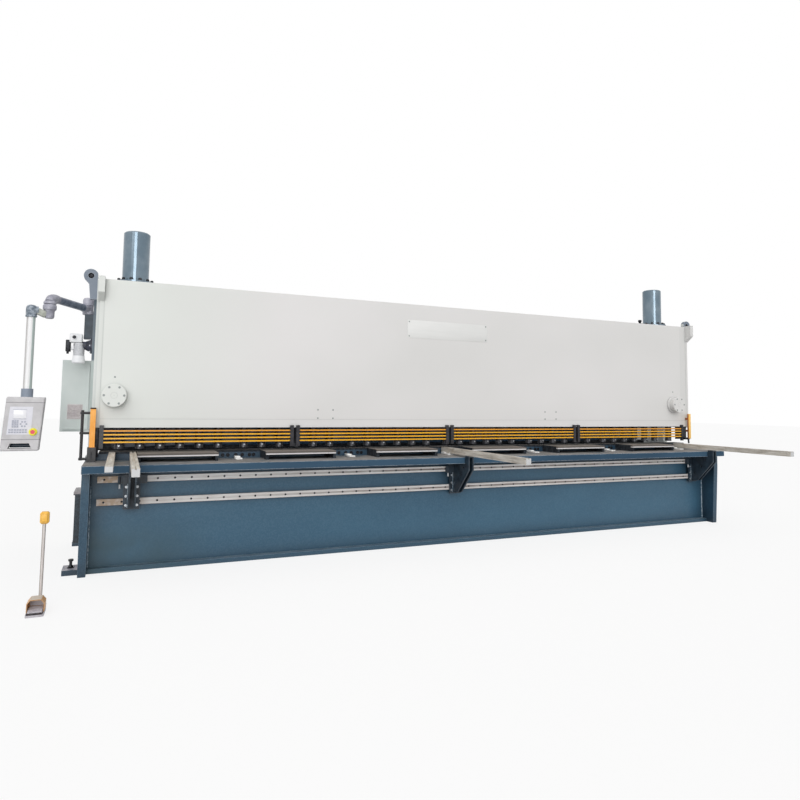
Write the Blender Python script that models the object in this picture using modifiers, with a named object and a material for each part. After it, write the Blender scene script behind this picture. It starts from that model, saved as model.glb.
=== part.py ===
"""Hydraulic guillotine shear for sheets eight metres long.

Metres, +Z up. X runs along the blades, to the right of someone feeding a sheet, and Y runs
away from that person. The origin is at mid length, under the cutting plane, on the floor.
"""
import math

import bmesh
import bpy
from mathutils import Matrix, Vector

# Clearances
GAP = 0.0003
RUN = 0.005
PIN_PLAY = 0.001
BITE = 0.010
SKIM = 0.001
SHARP_DEG = 35

# Main frame
INNER_HALF = 4.10
PLATE_T = 0.07
OUTER = INNER_HALF + PLATE_T
SHEET_LEVEL = 1.13
TABLE_TOP = 1.045
TABLE_T = 0.073
TABLE_FRONT = -0.816
TABLE_UNDER = TABLE_TOP - TABLE_T
COLUMN_FRONT = -0.70
COLUMN_TOE = -0.66
COLUMN_KNEE = 0.80
FRAME_TOP = 2.90
FRAME_BACK = 1.05
FRAME_TOP_BACK = 0.62
FRAME_SHOULDER = 2.25
THROAT_SILL = 1.09
THROAT_HEAD = 1.36
THROAT_BACK = 0.24
THROAT_R = 0.06
ARCH_FRONT = -0.30
ARCH_BACK = 0.78
ARCH_H = 0.14
REBATE = 0.04
REBATE_BACK = 0.10
LUG_SEAT = OUTER - REBATE

# Feet and lifting lugs
FOOT_OUT = 0.14
FOOT_T = 0.05
FOOT_LEN = 0.222
FOOT_FRONT = -0.546
FOOT_REAR = 0.80
LEVEL_BOLT_R = 0.013
LEVEL_HEAD_R = 0.023
LEVEL_BOLT_H = 0.080
LEVEL_HEAD_T = 0.018
LUG_Y = -0.15
LUG_T = 0.05
LUG_OUT = 0.065
LUG_Z = 2.945
LUG_R = 0.070
LUG_HOLE_R = 0.029
LUG_FOOT = (0.067, 2.70)
LUG_NECK = (0.082, 2.86)

# Bed
BED_FACE = -0.47
BED_SKIN = 0.04
LEDGE_FRONT = -0.55
LEDGE_BACK = 0.30
LEDGE_T = 0.045
BED_REAR = -0.14
BED_REAR_SKIN = 0.05
BED_RIBS = 7
BED_RIB_MARGIN = 0.50
BED_RIB_PITCH = 2 * (INNER_HALF - BED_RIB_MARGIN) / (BED_RIBS - 1)
BED_RIB_T = 0.02

# Lower knife beam, lower blade and sheet deck
BEAM_FRONT = -0.20
BEAM_FOOT = 0.80
STRIP_T = 0.02
BLADE_W = 0.025
BLADE_H = 0.08
BLADE_GAP = 0.001
BLADE_HALF = 4.05
LEDGE_STEP = 0.006
DECK_FRONT = -0.54
DECK_COUNT = 6
DECK_START = -3.69
DECK_MARGIN = 0.06
DECK_PITCH = (BLADE_HALF - DECK_MARGIN - DECK_START) / DECK_COUNT
DECK_LEN = 0.785
DECK_CHEEK = 0.03
DECK_LIP_T = 0.03
DECK_LIP_H = 0.035
DECK_NOSE = 0.005
DECK_REVEAL = 0.002

# Guide rails on the bed face
RAIL_LEFT = -4.04
RAIL_RIGHT = 4.00
RAIL_D = 0.04
RAIL_UPPER = (0.853, 0.914)
RAIL_LOWER = (0.634, 0.695)

# Squaring arm
SQUARE_X = -3.923
SQUARE_W = 0.06
SQUARE_H = 0.046
SQUARE_TIP = -1.81
SQUARE_FEET = (-0.72, -0.31)
SQUARE_FOOT_LEN = 0.08

# Sheet support arms
ARM_XS = (-3.728, -0.097, 3.863)
ARM_W = 0.06
ARM_H = 0.064
ARM_TIP = -2.05
ARM_GROOVE_W = 0.012
ARM_GROOVE_D = 0.010
SADDLE_HALF = 0.077
SADDLE_T = 0.02
SADDLE_FOOT = 0.59
SADDLE_HEAD = 0.955
CHEEK_T = 0.014
CHEEK_GAP = 0.040
CHEEK_TIP = -0.912
CHEEK_SHOULDER = 0.90
CHEEK_FOOT = (-0.645, 0.618)
CHEEK_HOLES = ((-0.785, 0.925), (-0.711, 0.82), (-0.590, 0.722))
CHEEK_HOLE_R = 0.015
TABLE_CLEAR = 0.010
CLAMP_LEFT = 0.13
CLAMP_RIGHT = 0.14
CLAMP_T = 0.035
CLAMP_LIP = 0.012
LEVER_R = 0.008
LEVER_LEN = 0.11

# Front panel, holddown and guards
PANEL_FACE = -0.26
PANEL_T = 0.04
PANEL_HALF = 4.10
PANEL_FOOT = 1.38
PANEL_TOP = 2.908
GROOVE_Z = 1.47
GROOVE_X = 4.058
GROOVE_W = 0.006
GROOVE_D = 0.004
NOSE_X = 4.085
NOSE_T = 0.058
NOSE_FRONT = -0.365
NOSE_Z = (2.674, 2.755)
NOSE_TOP = 2.92
HOLD_BACK = -0.04
HOLD_FOOT = 1.42
HOLD_TOP = 1.64
RAM_Y = -0.13
RAM_R = 0.046
RAM_FOOT = 1.157
RAM_STRIP_T = 0.03
RAM_STRIP_W = 0.13
RAM_START = -3.864
RAM_PER_GROUP = 6
RAM_PITCH = 0.20
RAM_LAST = 3.816
RAM_SIDES = 16
GUARD_START = -4.03
GUARD_PITCH = 1.9925
GUARD_BAYS = 4
GUARD_POST_W = 0.040
GUARD_POST_D = 0.030
GUARD_PAIR = 0.070
GUARD_TOP = 1.405
GUARD_FOOT = 1.17
GUARD_BARS = (1.347, 1.309, 1.270, 1.232)
GUARD_BAR_H = 0.020
GUARD_BAR_D = 0.016

# Roller covers
COVER_XS = (-3.927, 3.785)
COVER_Z = 1.709
COVER_FLANGE_R = 0.125
COVER_NECK_R = 0.106
COVER_BASE_T = 0.03
COVER_CAP_T = 0.028
COVER_DEPTH = 0.125

# Cylinders, rods and upper frame
CYL_X = 3.77
CYL_Y = 0.112
CYL_R = 0.137
CYL_TOP = 3.505
CYL_FLANGE_R = 0.205
CYL_FLANGE_T = 0.055
CYL_EDGE = 0.012
ROD_R = 0.06
ROD_REACH = 0.50
SEAT_INNER = 3.42
SEAT_T = 0.09
SEAT_RIB_T = 0.03
SEAT_RIB_H = 0.16
TIE_FRONT = 0.60
TIE_T = 0.06
TIE_FOOT = 1.95
TIE_FLANGE = 0.12
TIE_FLANGE_T = 0.03

# Knife beam, upper blade, guides and back gauge
KNIFE_HALF = 4.05
KNIFE_T = 0.06
KNIFE_TOP = 2.70
KNIFE_OPEN = 0.030
RAKE_DEG = 1.5
KNIFE_LIFT = 0.012
KNIFE_FLANGE_HALF = 3.90
KNIFE_FLANGE_BACK = 0.30
KNIFE_FLANGE_T = 0.04
KNIFE_RIBS = 9
KNIFE_RIB_MARGIN = 0.18
KNIFE_RIB_PITCH = 2 * (KNIFE_FLANGE_HALF - KNIFE_RIB_MARGIN) / (KNIFE_RIBS - 1)
KNIFE_RIB_T = 0.025
KNIFE_RIB_BACK = 0.27
KNIFE_RIB_FOOT = 1.52
GUIDE_INNER = 3.94
GUIDE_BACK = 0.22
GUIDE_FOOT = 1.45
GUIDE_HEAD = 2.60
GAUGE_ARM_RIB = 3
GAUGE_ARM_X = GAUGE_ARM_RIB * KNIFE_RIB_PITCH
GAUGE_ARM_W = 0.10
GAUGE_ARM_Z = (1.54, 1.64)
GAUGE_BACK = 1.16
GAUGE_HALF = 3.90
GAUGE_FACE = 0.62
GAUGE_T = 0.02
GAUGE_FOOT = 1.10
GAUGE_HEAD = 1.34
GAUGE_FLANGE = 0.10
GAUGE_FLANGE_T = 0.015
GAUGE_TUBE = 0.08

# Oil tank and pump motor
TANK_X = (-1.60, 0.20)
TANK_D = 0.42
TANK_Z = (2.20, 2.78)
TANK_LID = 0.03
TANK_LID_T = 0.02
MOTOR_X = (-1.20, -0.75)
MOTOR_Y = 0.88
MOTOR_R = 0.115
MOTOR_FOOT = 0.02
MOTOR_BASE_W = 0.184
PUMP_R = 0.07
PUMP_LEN = 0.20

# Boxes on the left side plate
CABINET_OUT = 0.30
CABINET_Y = (0.50, 1.10)
CABINET_Z = (1.31, 2.10)
CABINET_DOOR = 0.02
CABINET_MARGIN = 0.025
SIDE_BOX_OUT = 0.07
SIDE_BOX_Y = (-0.30, 0.05)
SIDE_BOX_Z = (0.25, 0.73)
SIDE_CAP = 0.012
SIDE_CAP_T = 0.02

# Blade-gap motor
GEAR_X = -4.365
GEAR_Y = 0.245
GEAR_Z = 2.325
GEAR_SIZE = 0.11
GEAR_SHAFT_R = 0.035
GEAR_MOTOR_R = 0.062
GEAR_MOTOR_FOOT = 2.05
GEAR_BOX = (0.05, 0.07, 0.10)

# Light curtains
CURTAIN_XS = (-4.11, 4.055)
CURTAIN_Y = -0.33
CURTAIN_W = 0.05
CURTAIN_D = 0.05
CURTAIN_Z = (1.19, 1.57)
CURTAIN_SHOE = 0.078
CURTAIN_STAND = 0.095
CURTAIN_ROD_R = 0.014
CURTAIN_ROD_Z = (1.075, 1.53)
CURTAIN_LINK_Z = 1.33

# Pendant
POST_OUT = 0.095
POST_Y = 0.38
POST_D = 0.10
POST_Z = (2.33, 2.60)
SWING_X = -4.235
SWING_HUB_R = 0.058
SWING_HUB_H = 0.19
SWING_PIN_R = 0.022
ELBOW = (-4.543, -0.30)
ELBOW_R = 0.050
ELBOW_H = 0.110
SWING_TUBE_R = 0.039
SWING_TUBE_RISE = 0.065
LINK_HUB_R = 0.058
LINK_T = 0.13
LINK_TUBE_R = 0.034
DROP = (-4.693, -0.34)
DROP_TOP = 2.455
DROP_HUB_R = 0.052
DROP_HUB_H = 0.117
DROP_TUBE_R = 0.038
COLLAR_R = 0.052
COLLAR_H = 0.08
PENDANT_W = 0.322
PENDANT_D = 0.11
PENDANT_Z = (1.166, 1.68)
PENDANT_X = -4.693
PENDANT_LEAN = 0.036
PENDANT_EDGE = 0.012
HANDLE_Z = (1.190, 1.238)
HANDLE_HALF = (0.098, 0.078)
HANDLE_X = -4.727
STOP_X = -4.62
STOP_Z = 1.347
STOP_R = 0.026
STOP_STEM_R = 0.012
STOP_OUT = 0.030
STOP_COLLAR_R = 0.036
STOP_COLLAR_T = 0.006
STOP_PRESS = 0.006

# Pedal station
PEDAL_X = -4.40
PEDAL_W = 0.17
PEDAL_Y = (-1.76, -1.46)
PEDAL_H = 0.13
PEDAL_WALL = 0.008
PEDAL_HEEL_H = 0.098
PEDAL_HEEL_T = 0.032
PEDAL_ROOF = (0.065, 0.052)
PEDAL_MOUTH_H = 0.112
TREAD_T = 0.010
TREAD_AXIS = (-1.535, 0.040)
TREAD_TIP = (-1.735, 0.062)
TREAD_SIDE = 0.008
TREAD_BOSS_R = 0.010
POLE_R = 0.015
POLE_FOOT = 0.063
POLE_TOP = 0.66
SWITCH_BOX = (0.075, 0.06, 0.105)


def finish(name, colour, roughness, metallic=0.0):
    material = bpy.data.materials.get(name) or bpy.data.materials.new(name)
    material.use_nodes = True
    shader = material.node_tree.nodes["Principled BSDF"]
    shader.inputs["Base Color"].default_value = (*colour, 1.0)
    shader.inputs["Roughness"].default_value = roughness
    shader.inputs["Metallic"].default_value = metallic
    return material


def upper_paint():
    return finish("pale_grey_paint", (0.72, 0.73, 0.71), 0.45)


def lower_paint():
    return finish("blue_grey_paint", (0.048, 0.105, 0.16), 0.45)


def black_paint():
    return finish("black_paint", (0.012, 0.012, 0.015), 0.5)


def yellow_paint():
    return finish("yellow_paint", (0.90, 0.46, 0.02), 0.4)


def bare_steel():
    return finish("bare_steel", (0.42, 0.41, 0.40), 0.35, 1.0)


def cylinder_paint():
    return finish("slate_paint", (0.05, 0.08, 0.13), 0.3)


def cabinet_paint():
    return finish("cabinet_paint", (0.56, 0.60, 0.58), 0.5)


def pendant_plastic():
    return finish("pendant_plastic", (0.36, 0.35, 0.36), 0.5)


def drop_tube_metal():
    return finish("anodised_tube", (0.75, 0.75, 0.76), 0.3, 0.8)


def stop_red():
    return finish("stop_red", (0.70, 0.02, 0.02), 0.35)


def block(mesh, low, high):
    """Add a box between two opposite corners to a bmesh."""
    size = Vector(high) - Vector(low)
    centre = (Vector(high) + Vector(low)) / 2
    place = Matrix.Translation(centre) @ Matrix.Diagonal((*size, 1.0))
    bmesh.ops.create_cube(mesh, size=1.0, matrix=place)


def bar(mesh, radius, start, end, sides=24, end_radius=None):
    """Add a round bar, or a cone, from one point to another to a bmesh."""
    start = Vector(start)
    along = Vector(end) - start
    turn = Vector((0, 0, 1)).rotation_difference(along).to_matrix().to_4x4()
    place = Matrix.Translation(start + along / 2) @ turn
    tip = radius if end_radius is None else end_radius
    bmesh.ops.create_cone(mesh, cap_ends=True, segments=sides, radius1=radius, radius2=tip,
                          depth=along.length, matrix=place)


def solid(name, build, material=None):
    """Make one object from the shapes that a function adds to a bmesh."""
    mesh = bmesh.new()
    build(mesh)
    data = bpy.data.meshes.new(name)
    mesh.to_mesh(data)
    mesh.free()
    smooth_rounds(data)
    thing = bpy.data.objects.new(name, data)
    place_in(thing, material)
    return thing


def smooth_rounds(data):
    """Shade round faces smooth and keep the real edges sharp."""
    data.shade_smooth()
    data.set_sharp_from_angle(angle=math.radians(SHARP_DEG))


def place_in(thing, material):
    """A piece with a material belongs to the machine, one without is a working shape."""
    if material:
        thing.data.materials.append(material)
        machine.objects.link(thing)
    else:
        tools.objects.link(thing)
        thing.hide_render = True
        thing.display_type = "WIRE"


def boxes(name, corners, material=None):
    def build(mesh):
        for low, high in corners:
            block(mesh, low, high)
    return solid(name, build, material)


def bars(name, runs, material=None, sides=24):
    def build(mesh):
        for radius, start, end in runs:
            bar(mesh, radius, start, end, sides)
    return solid(name, build, material)


def outline(name, points, facing, at, thickness, material=None, holes=()):
    """A flat closed outline given real thickness, centred on a plane across X, Y or Z."""
    curve = bpy.data.curves.new(name, "CURVE")
    curve.dimensions = "2D"
    curve.fill_mode = "BOTH"
    curve.extrude = thickness / 2
    for ring in (points, *holes):
        spline = curve.splines.new("POLY")
        spline.points.add(len(ring) - 1)
        for point, (u, v) in zip(spline.points, ring):
            point.co = (u, v, 0.0, 1.0)
        spline.use_cyclic_u = True
    drawn = bpy.data.objects.new(name + "_curve", curve)
    bpy.context.scene.collection.objects.link(drawn)
    axes = {"X": ((0, 0, 1), (1, 0, 0), (0, 1, 0)),
            "Y": ((1, 0, 0), (0, 0, -1), (0, 1, 0)),
            "Z": ((1, 0, 0), (0, 1, 0), (0, 0, 1))}[facing]
    turn = Matrix(axes).to_4x4()
    shift = {"X": (at, 0, 0), "Y": (0, at, 0), "Z": (0, 0, at)}[facing]
    bpy.context.view_layer.update()
    shape = drawn.evaluated_get(bpy.context.evaluated_depsgraph_get())
    data = bpy.data.meshes.new_from_object(shape)
    bpy.data.objects.remove(drawn)
    data.transform(Matrix.Translation(shift) @ turn)
    weld(data)
    smooth_rounds(data)
    thing = bpy.data.objects.new(name, data)
    data.name = name
    data.materials.clear()
    place_in(thing, material)
    return thing


def weld(data):
    mesh = bmesh.new()
    mesh.from_mesh(data)
    bmesh.ops.remove_doubles(mesh, verts=mesh.verts, dist=0.00001)
    bmesh.ops.recalc_face_normals(mesh, faces=mesh.faces)
    mesh.to_mesh(data)
    mesh.free()


def arc(u, v, radius, start, end, steps):
    """Points on an arc, from one angle in degrees to another."""
    turns = [math.radians(start + (end - start) * i / steps) for i in range(steps + 1)]
    return [(u + radius * math.cos(t), v + radius * math.sin(t)) for t in turns]


def turned(name, profile, place, axis, material, steps=32):
    """A turned shape: a closed profile of radius and height, spun round its own axis."""
    mesh = bmesh.new()
    points = [mesh.verts.new((radius, 0, height)) for radius, height in profile]
    for first, second in zip(points, points[1:]):
        mesh.edges.new((first, second))
    data = bpy.data.meshes.new(name)
    mesh.to_mesh(data)
    mesh.free()
    thing = bpy.data.objects.new(name, data)
    place_in(thing, material)
    spin = thing.modifiers.new("Turn", "SCREW")
    spin.steps = steps
    spin.render_steps = steps
    spin.use_merge_vertices = True
    spin.merge_threshold = 0.00005
    thing.location = place
    thing.rotation_mode = "QUATERNION"
    thing.rotation_quaternion = Vector((0, 0, 1)).rotation_difference(Vector(axis))
    return thing


def combine(target, operation, *others):
    for other in others:
        step = target.modifiers.new(other.name, "BOOLEAN")
        step.operation = operation
        step.solver = "EXACT"
        step.object = other
    return target


def fuse(target, *others):
    return combine(target, "UNION", *others)


def cut(target, *others):
    return combine(target, "DIFFERENCE", *others)


def axis_empty(name, place, parent=None):
    mark = bpy.data.objects.new(name, None)
    machine.objects.link(mark)
    mark.location = place
    if parent:
        carry(parent, mark)
    bpy.context.view_layer.update()
    return mark


def carry(parent, *children):
    """Let pieces follow an axis without moving them from where they are."""
    bpy.context.view_layer.update()
    for child in children:
        child.parent = parent
        child.matrix_parent_inverse = parent.matrix_world.inverted()


def side_plates():
    """C-shaped end frames with feet, levelling bolts and lifting lugs."""
    front = PANEL_FACE + PANEL_T + GAP
    table_seat = TABLE_UNDER - GAP
    table_back = BEAM_FRONT
    r = THROAT_R
    edge = [(COLUMN_TOE, 0), (COLUMN_FRONT, COLUMN_KNEE), (COLUMN_FRONT, table_seat),
            (table_back, table_seat), (table_back, THROAT_SILL)]
    edge += arc(THROAT_BACK - r, THROAT_SILL + r, r, -90, 0, 6)
    edge += arc(THROAT_BACK - r, THROAT_HEAD - r, r, 0, 90, 6)
    edge += [(front, THROAT_HEAD), (front, FRAME_TOP), (FRAME_TOP_BACK, FRAME_TOP),
             (FRAME_BACK, FRAME_SHOULDER), (FRAME_BACK, 0), (ARCH_BACK, 0),
             (ARCH_BACK - ARCH_H, ARCH_H), (ARCH_FRONT + ARCH_H, ARCH_H), (ARCH_FRONT, 0)]
    for side, word in ((-1, "left"), (1, "right")):
        middle = side * (INNER_HALF + PLATE_T / 2)
        plate = outline("side_plate_" + word, edge, "X", middle, PLATE_T, side_paint())
        thin, wide = sorted((side * LUG_SEAT, side * (OUTER + BITE)))
        rebate = boxes("rebate_" + word, [((thin, front - BITE, THROAT_HEAD - BITE),
                                           (wide, REBATE_BACK, FRAME_TOP + BITE))])
        fuse(cut(plate, rebate), feet(side, word), lug(side, word))


def side_paint():
    return finish("side_plate_paint", (0.048, 0.105, 0.16), 0.45)


def feet(side, word):
    """Two pads outside the plate, each with a levelling bolt standing in it."""
    left, right = sorted((side * (OUTER - BITE), side * (OUTER + FOOT_OUT)))
    bolt_x = side * (OUTER + FOOT_OUT / 2)
    top = FOOT_T + LEVEL_BOLT_H
    pads = boxes("feet_" + word, [((left, start, 0), (right, start + FOOT_LEN, FOOT_T))
                                  for start in (FOOT_FRONT, FOOT_REAR)])
    for number, start in enumerate((FOOT_FRONT, FOOT_REAR)):
        y = start + FOOT_LEN / 2
        shank = (LEVEL_BOLT_R, (bolt_x, y, FOOT_T / 2), (bolt_x, y, top - LEVEL_HEAD_T / 2))
        head = (LEVEL_HEAD_R, (bolt_x, y, top - LEVEL_HEAD_T), (bolt_x, y, top))
        fuse(pads, bars("level_shank_%s_%d" % (word, number), [shank], sides=12))
        fuse(pads, bars("level_head_%s_%d" % (word, number), [head], sides=12))
    return pads


def lug(side, word):
    """A round-headed lifting plate welded to the outer face, its flat side facing the front."""
    centre = LUG_SEAT + LUG_OUT
    inner = LUG_SEAT - BITE
    edge = [(LUG_SEAT + out, z) for out, z in (LUG_FOOT, LUG_NECK)]
    ring = edge + arc(centre, LUG_Z, LUG_R, -35, 205, 20)
    ring += [(inner, FRAME_TOP - BITE), (inner, LUG_FOOT[1])]
    hole = arc(centre, LUG_Z, LUG_HOLE_R, 0, 360 - 360 / 20, 19)
    ring = [(side * x, z) for x, z in ring]
    hole = [(side * x, z) for x, z in hole]
    return outline("lug_" + word, ring, "Y", LUG_Y, LUG_T, holes=(hole,))


def bed_frame():
    """Front skin, bottom flange and rear skin, tied by cross ribs."""
    half = INNER_HALF - GAP
    table_seat = TABLE_UNDER - GAP
    skin = boxes("bed_frame", [((-half, BED_FACE, 0), (half, BED_FACE + BED_SKIN, table_seat))],
                 lower_paint())
    flange = boxes("bed_flange", [((-half, LEDGE_FRONT, 0), (half, LEDGE_BACK, LEDGE_T))])
    top = BEAM_FOOT - GAP
    rear = boxes("bed_rear", [((-half, BED_REAR - BED_REAR_SKIN, LEDGE_T / 2),
                               (half, BED_REAR, top))])
    xs = [BED_RIB_PITCH * (i - (BED_RIBS - 1) / 2) for i in range(BED_RIBS)]
    front_y = BED_FACE + BED_SKIN / 2
    rear_y = BED_REAR - BED_REAR_SKIN / 2
    ribs = boxes("bed_ribs", [((x - BED_RIB_T / 2, front_y, LEDGE_T / 2),
                               (x + BED_RIB_T / 2, rear_y, BEAM_FOOT - BITE)) for x in xs])
    fuse(skin, flange, rear, ribs)


def table_plate():
    """The front table, lying on the side plates and the bed."""
    boxes("table_plate", [((-OUTER, TABLE_FRONT, TABLE_UNDER),
                           (OUTER, BEAM_FRONT - GAP, TABLE_TOP))], lower_paint())


def lower_knife_beam():
    """The beam behind the table, stepped at the back for the lower blade."""
    half = INNER_HALF - GAP
    strip_seat = SHEET_LEVEL - STRIP_T - GAP
    blade_back = -BLADE_GAP / 2 - BLADE_W - GAP
    blade_seat = SHEET_LEVEL - BLADE_H - GAP
    edge = [(BEAM_FRONT, BEAM_FOOT), (-LEDGE_STEP, BEAM_FOOT), (-LEDGE_STEP, blade_seat),
            (blade_back, blade_seat), (blade_back, strip_seat), (BEAM_FRONT, strip_seat)]
    outline("lower_knife_beam", edge, "X", 0, 2 * half, lower_paint())
    low_y = -BLADE_GAP / 2 - BLADE_W
    boxes("lower_blade", [((-BLADE_HALF, low_y, SHEET_LEVEL - BLADE_H),
                           (BLADE_HALF, -BLADE_GAP / 2, SHEET_LEVEL))], bare_steel())


def deck_starts():
    return [DECK_START + DECK_PITCH * i for i in range(DECK_COUNT)]


def sheet_deck():
    """A machined strip on the lower beam that carries six raised plates with cheeks and lips."""
    back = -BLADE_GAP / 2 - BLADE_W - GAP
    root = BEAM_FRONT - DECK_NOSE
    low = SHEET_LEVEL - STRIP_T
    strip = boxes("sheet_deck", [((-BLADE_HALF, root, low), (BLADE_HALF, back, SHEET_LEVEL))],
                  bare_steel())
    cheek_top = SHEET_LEVEL - STRIP_T / 2
    plates = []
    cheeks = []
    lips = []
    for start in deck_starts():
        end = start + DECK_LEN
        plates.append(((start, DECK_FRONT, low), (end, root + BITE, SHEET_LEVEL)))
        for left in (start + DECK_REVEAL, end - DECK_REVEAL - DECK_CHEEK):
            cheeks.append(((left, DECK_FRONT + 2 * DECK_REVEAL, TABLE_TOP + GAP),
                           (left + DECK_CHEEK, BEAM_FRONT - GAP, cheek_top)))
        lips.append(((start + DECK_CHEEK / 2, DECK_FRONT + DECK_REVEAL, SHEET_LEVEL - DECK_LIP_H),
                     (end - DECK_CHEEK / 2, DECK_FRONT + DECK_LIP_T, cheek_top + DECK_REVEAL)))
    fuse(strip, boxes("deck_plates", plates), boxes("deck_cheeks", cheeks),
         boxes("deck_lips", lips))


def guide_rails():
    """Two flat bars along the bed face, on which the arm brackets slide."""
    for word, (low, high) in (("upper", RAIL_UPPER), ("lower", RAIL_LOWER)):
        boxes("guide_rail_" + word, [((RAIL_LEFT, BED_FACE - RAIL_D, low),
                                      (RAIL_RIGHT, BED_FACE - GAP, high))], bare_steel())


def squaring_arm():
    """The fixed arm at the left end, square to the blades, on two packing blocks."""
    low_x = SQUARE_X - SQUARE_W / 2
    high_x = SQUARE_X + SQUARE_W / 2
    back = BEAM_FRONT - DECK_NOSE - GAP
    arm = boxes("squaring_arm", [((low_x, SQUARE_TIP, SHEET_LEVEL - SQUARE_H),
                                  (high_x, back, SHEET_LEVEL))], bare_steel())
    blocks = [((low_x + BITE, y - SQUARE_FOOT_LEN / 2, TABLE_TOP + GAP),
               (high_x - BITE, y + SQUARE_FOOT_LEN / 2, SHEET_LEVEL - SQUARE_H / 2))
              for y in SQUARE_FEET]
    fuse(arm, boxes("squaring_blocks", blocks))


def support_arms():
    """Three arms that slide along the rails, each on a hooked bracket round the table edge."""
    rail_front = BED_FACE - RAIL_D
    back = BEAM_FRONT - DECK_NOSE - RUN - GAP
    for number, x in enumerate(ARM_XS, 1):
        slide = axis_empty("arm_slide_%d" % number, (x, rail_front, SADDLE_FOOT))
        half = ARM_W / 2
        arm = boxes("support_arm_%d" % number, [((x - half, ARM_TIP, SHEET_LEVEL - ARM_H),
                                                 (x + half, back, SHEET_LEVEL))], bare_steel())
        half = ARM_GROOVE_W / 2
        groove = ((x - half, ARM_TIP - BITE, SHEET_LEVEL - ARM_GROOVE_D),
                  (x + half, back + BITE, SHEET_LEVEL + BITE))
        cut(arm, boxes("arm_groove_%d" % number, [groove]))
        carry(slide, arm, arm_bracket(number, x, rail_front))


def arm_bracket(number, x, rail_front):
    """Two cheeks on a saddle plate, with the arm's pad on top and a clamp on the upper rail."""
    face = rail_front - GAP
    bracket = boxes("arm_bracket_%d" % number, [((x - SADDLE_HALF, face - SADDLE_T, SADDLE_FOOT),
                                                 (x + SADDLE_HALF, face, SADDLE_HEAD))],
                    black_paint())
    shelf = SHEET_LEVEL - ARM_H - GAP
    inner = TABLE_FRONT - TABLE_CLEAR
    neck = TABLE_UNDER - TABLE_CLEAR
    start = face - SADDLE_T / 2
    edge = [(start, SADDLE_FOOT + BITE), CHEEK_FOOT, (CHEEK_TIP, CHEEK_SHOULDER),
            (CHEEK_TIP, shelf - SADDLE_T / 2), (inner, shelf - SADDLE_T / 2), (inner, neck),
            (start, neck)]
    step = (CHEEK_GAP + CHEEK_T) / 2
    holes = [arc(y, z, CHEEK_HOLE_R, 0, 330, 11) for y, z in CHEEK_HOLES]
    cheeks = [outline("arm_cheek_%d_%s" % (number, word), edge, "X", x + side * step, CHEEK_T,
                      holes=holes) for side, word in ((-1, "left"), (1, "right"))]
    pad = boxes("arm_pad_%d" % number, [((x - ARM_W / 2, CHEEK_TIP - BITE / 2, shelf - SADDLE_T),
                                         (x + ARM_W / 2, inner + SKIM, shelf))])
    low, high = RAIL_UPPER
    clamp = boxes("arm_clamp_%d" % number, [((x - CLAMP_LEFT, face - CLAMP_T, low - CLAMP_LIP),
                                             (x + CLAMP_RIGHT, face - SKIM, high + CLAMP_LIP))])
    lever_x = x - CLAMP_LEFT + LEVER_R + BITE
    lever_y = face - CLAMP_T - LEVER_R / 2
    lever = bars("arm_lever_%d" % number, [(LEVER_R, (lever_x, lever_y, low - LEVER_LEN / 2),
                                            (lever_x, lever_y, high))], sides=12)
    return fuse(bracket, *cheeks, pad, clamp, lever)


def front_panel():
    """The large front plate: shallow grooves along its edge strips, a nose at each top corner."""
    panel = boxes("front_panel", [((-PANEL_HALF, PANEL_FACE, PANEL_FOOT),
                                   (PANEL_HALF, PANEL_FACE + PANEL_T, PANEL_TOP))], upper_paint())
    front = PANEL_FACE - BITE
    deep = PANEL_FACE + GROOVE_D
    half = GROOVE_W / 2
    lines = [((-GROOVE_X, front, GROOVE_Z - half), (GROOVE_X, deep, GROOVE_Z + half))]
    for x in (-GROOVE_X, GROOVE_X):
        lines.append(((x - half, front, PANEL_FOOT - BITE), (x + half, deep, PANEL_TOP + BITE)))
    for number, line in enumerate(lines):
        cut(panel, boxes("panel_groove_%d" % number, [line]))
    low, knee = NOSE_Z
    nose = [(PANEL_FACE + BITE, low - BITE), (PANEL_FACE, low), (NOSE_FRONT, knee),
            (NOSE_FRONT, NOSE_TOP), (PANEL_FACE + BITE, NOSE_TOP)]
    for side, word in ((-1, "left"), (1, "right")):
        fuse(panel, outline("nose_" + word, nose, "X", side * NOSE_X, NOSE_T))


def ram_places():
    places = [RAM_START + DECK_PITCH * group + RAM_PITCH * i
              for group in range(DECK_COUNT) for i in range(RAM_PER_GROUP)]
    return places + [RAM_LAST]


def holddown():
    """The beam behind the panel's foot, and the row of rams that press the sheet down."""
    front = PANEL_FACE + PANEL_T + GAP
    half = INNER_HALF - GAP
    boxes("holddown_beam", [((-half, front, HOLD_FOOT), (half, HOLD_BACK, HOLD_TOP))],
          lower_paint())
    top = HOLD_FOOT - GAP
    reach = RAM_START - RAM_STRIP_W / 2
    strip = boxes("holddown_rams", [((reach, RAM_Y - RAM_STRIP_W / 2, top - RAM_STRIP_T),
                                     (-reach, RAM_Y + RAM_STRIP_W / 2, top))], black_paint())
    rams = bars("ram_row", [(RAM_R, (x, RAM_Y, RAM_FOOT), (x, RAM_Y, top - BITE))
                            for x in ram_places()], sides=RAM_SIDES)
    fuse(strip, rams)


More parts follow.
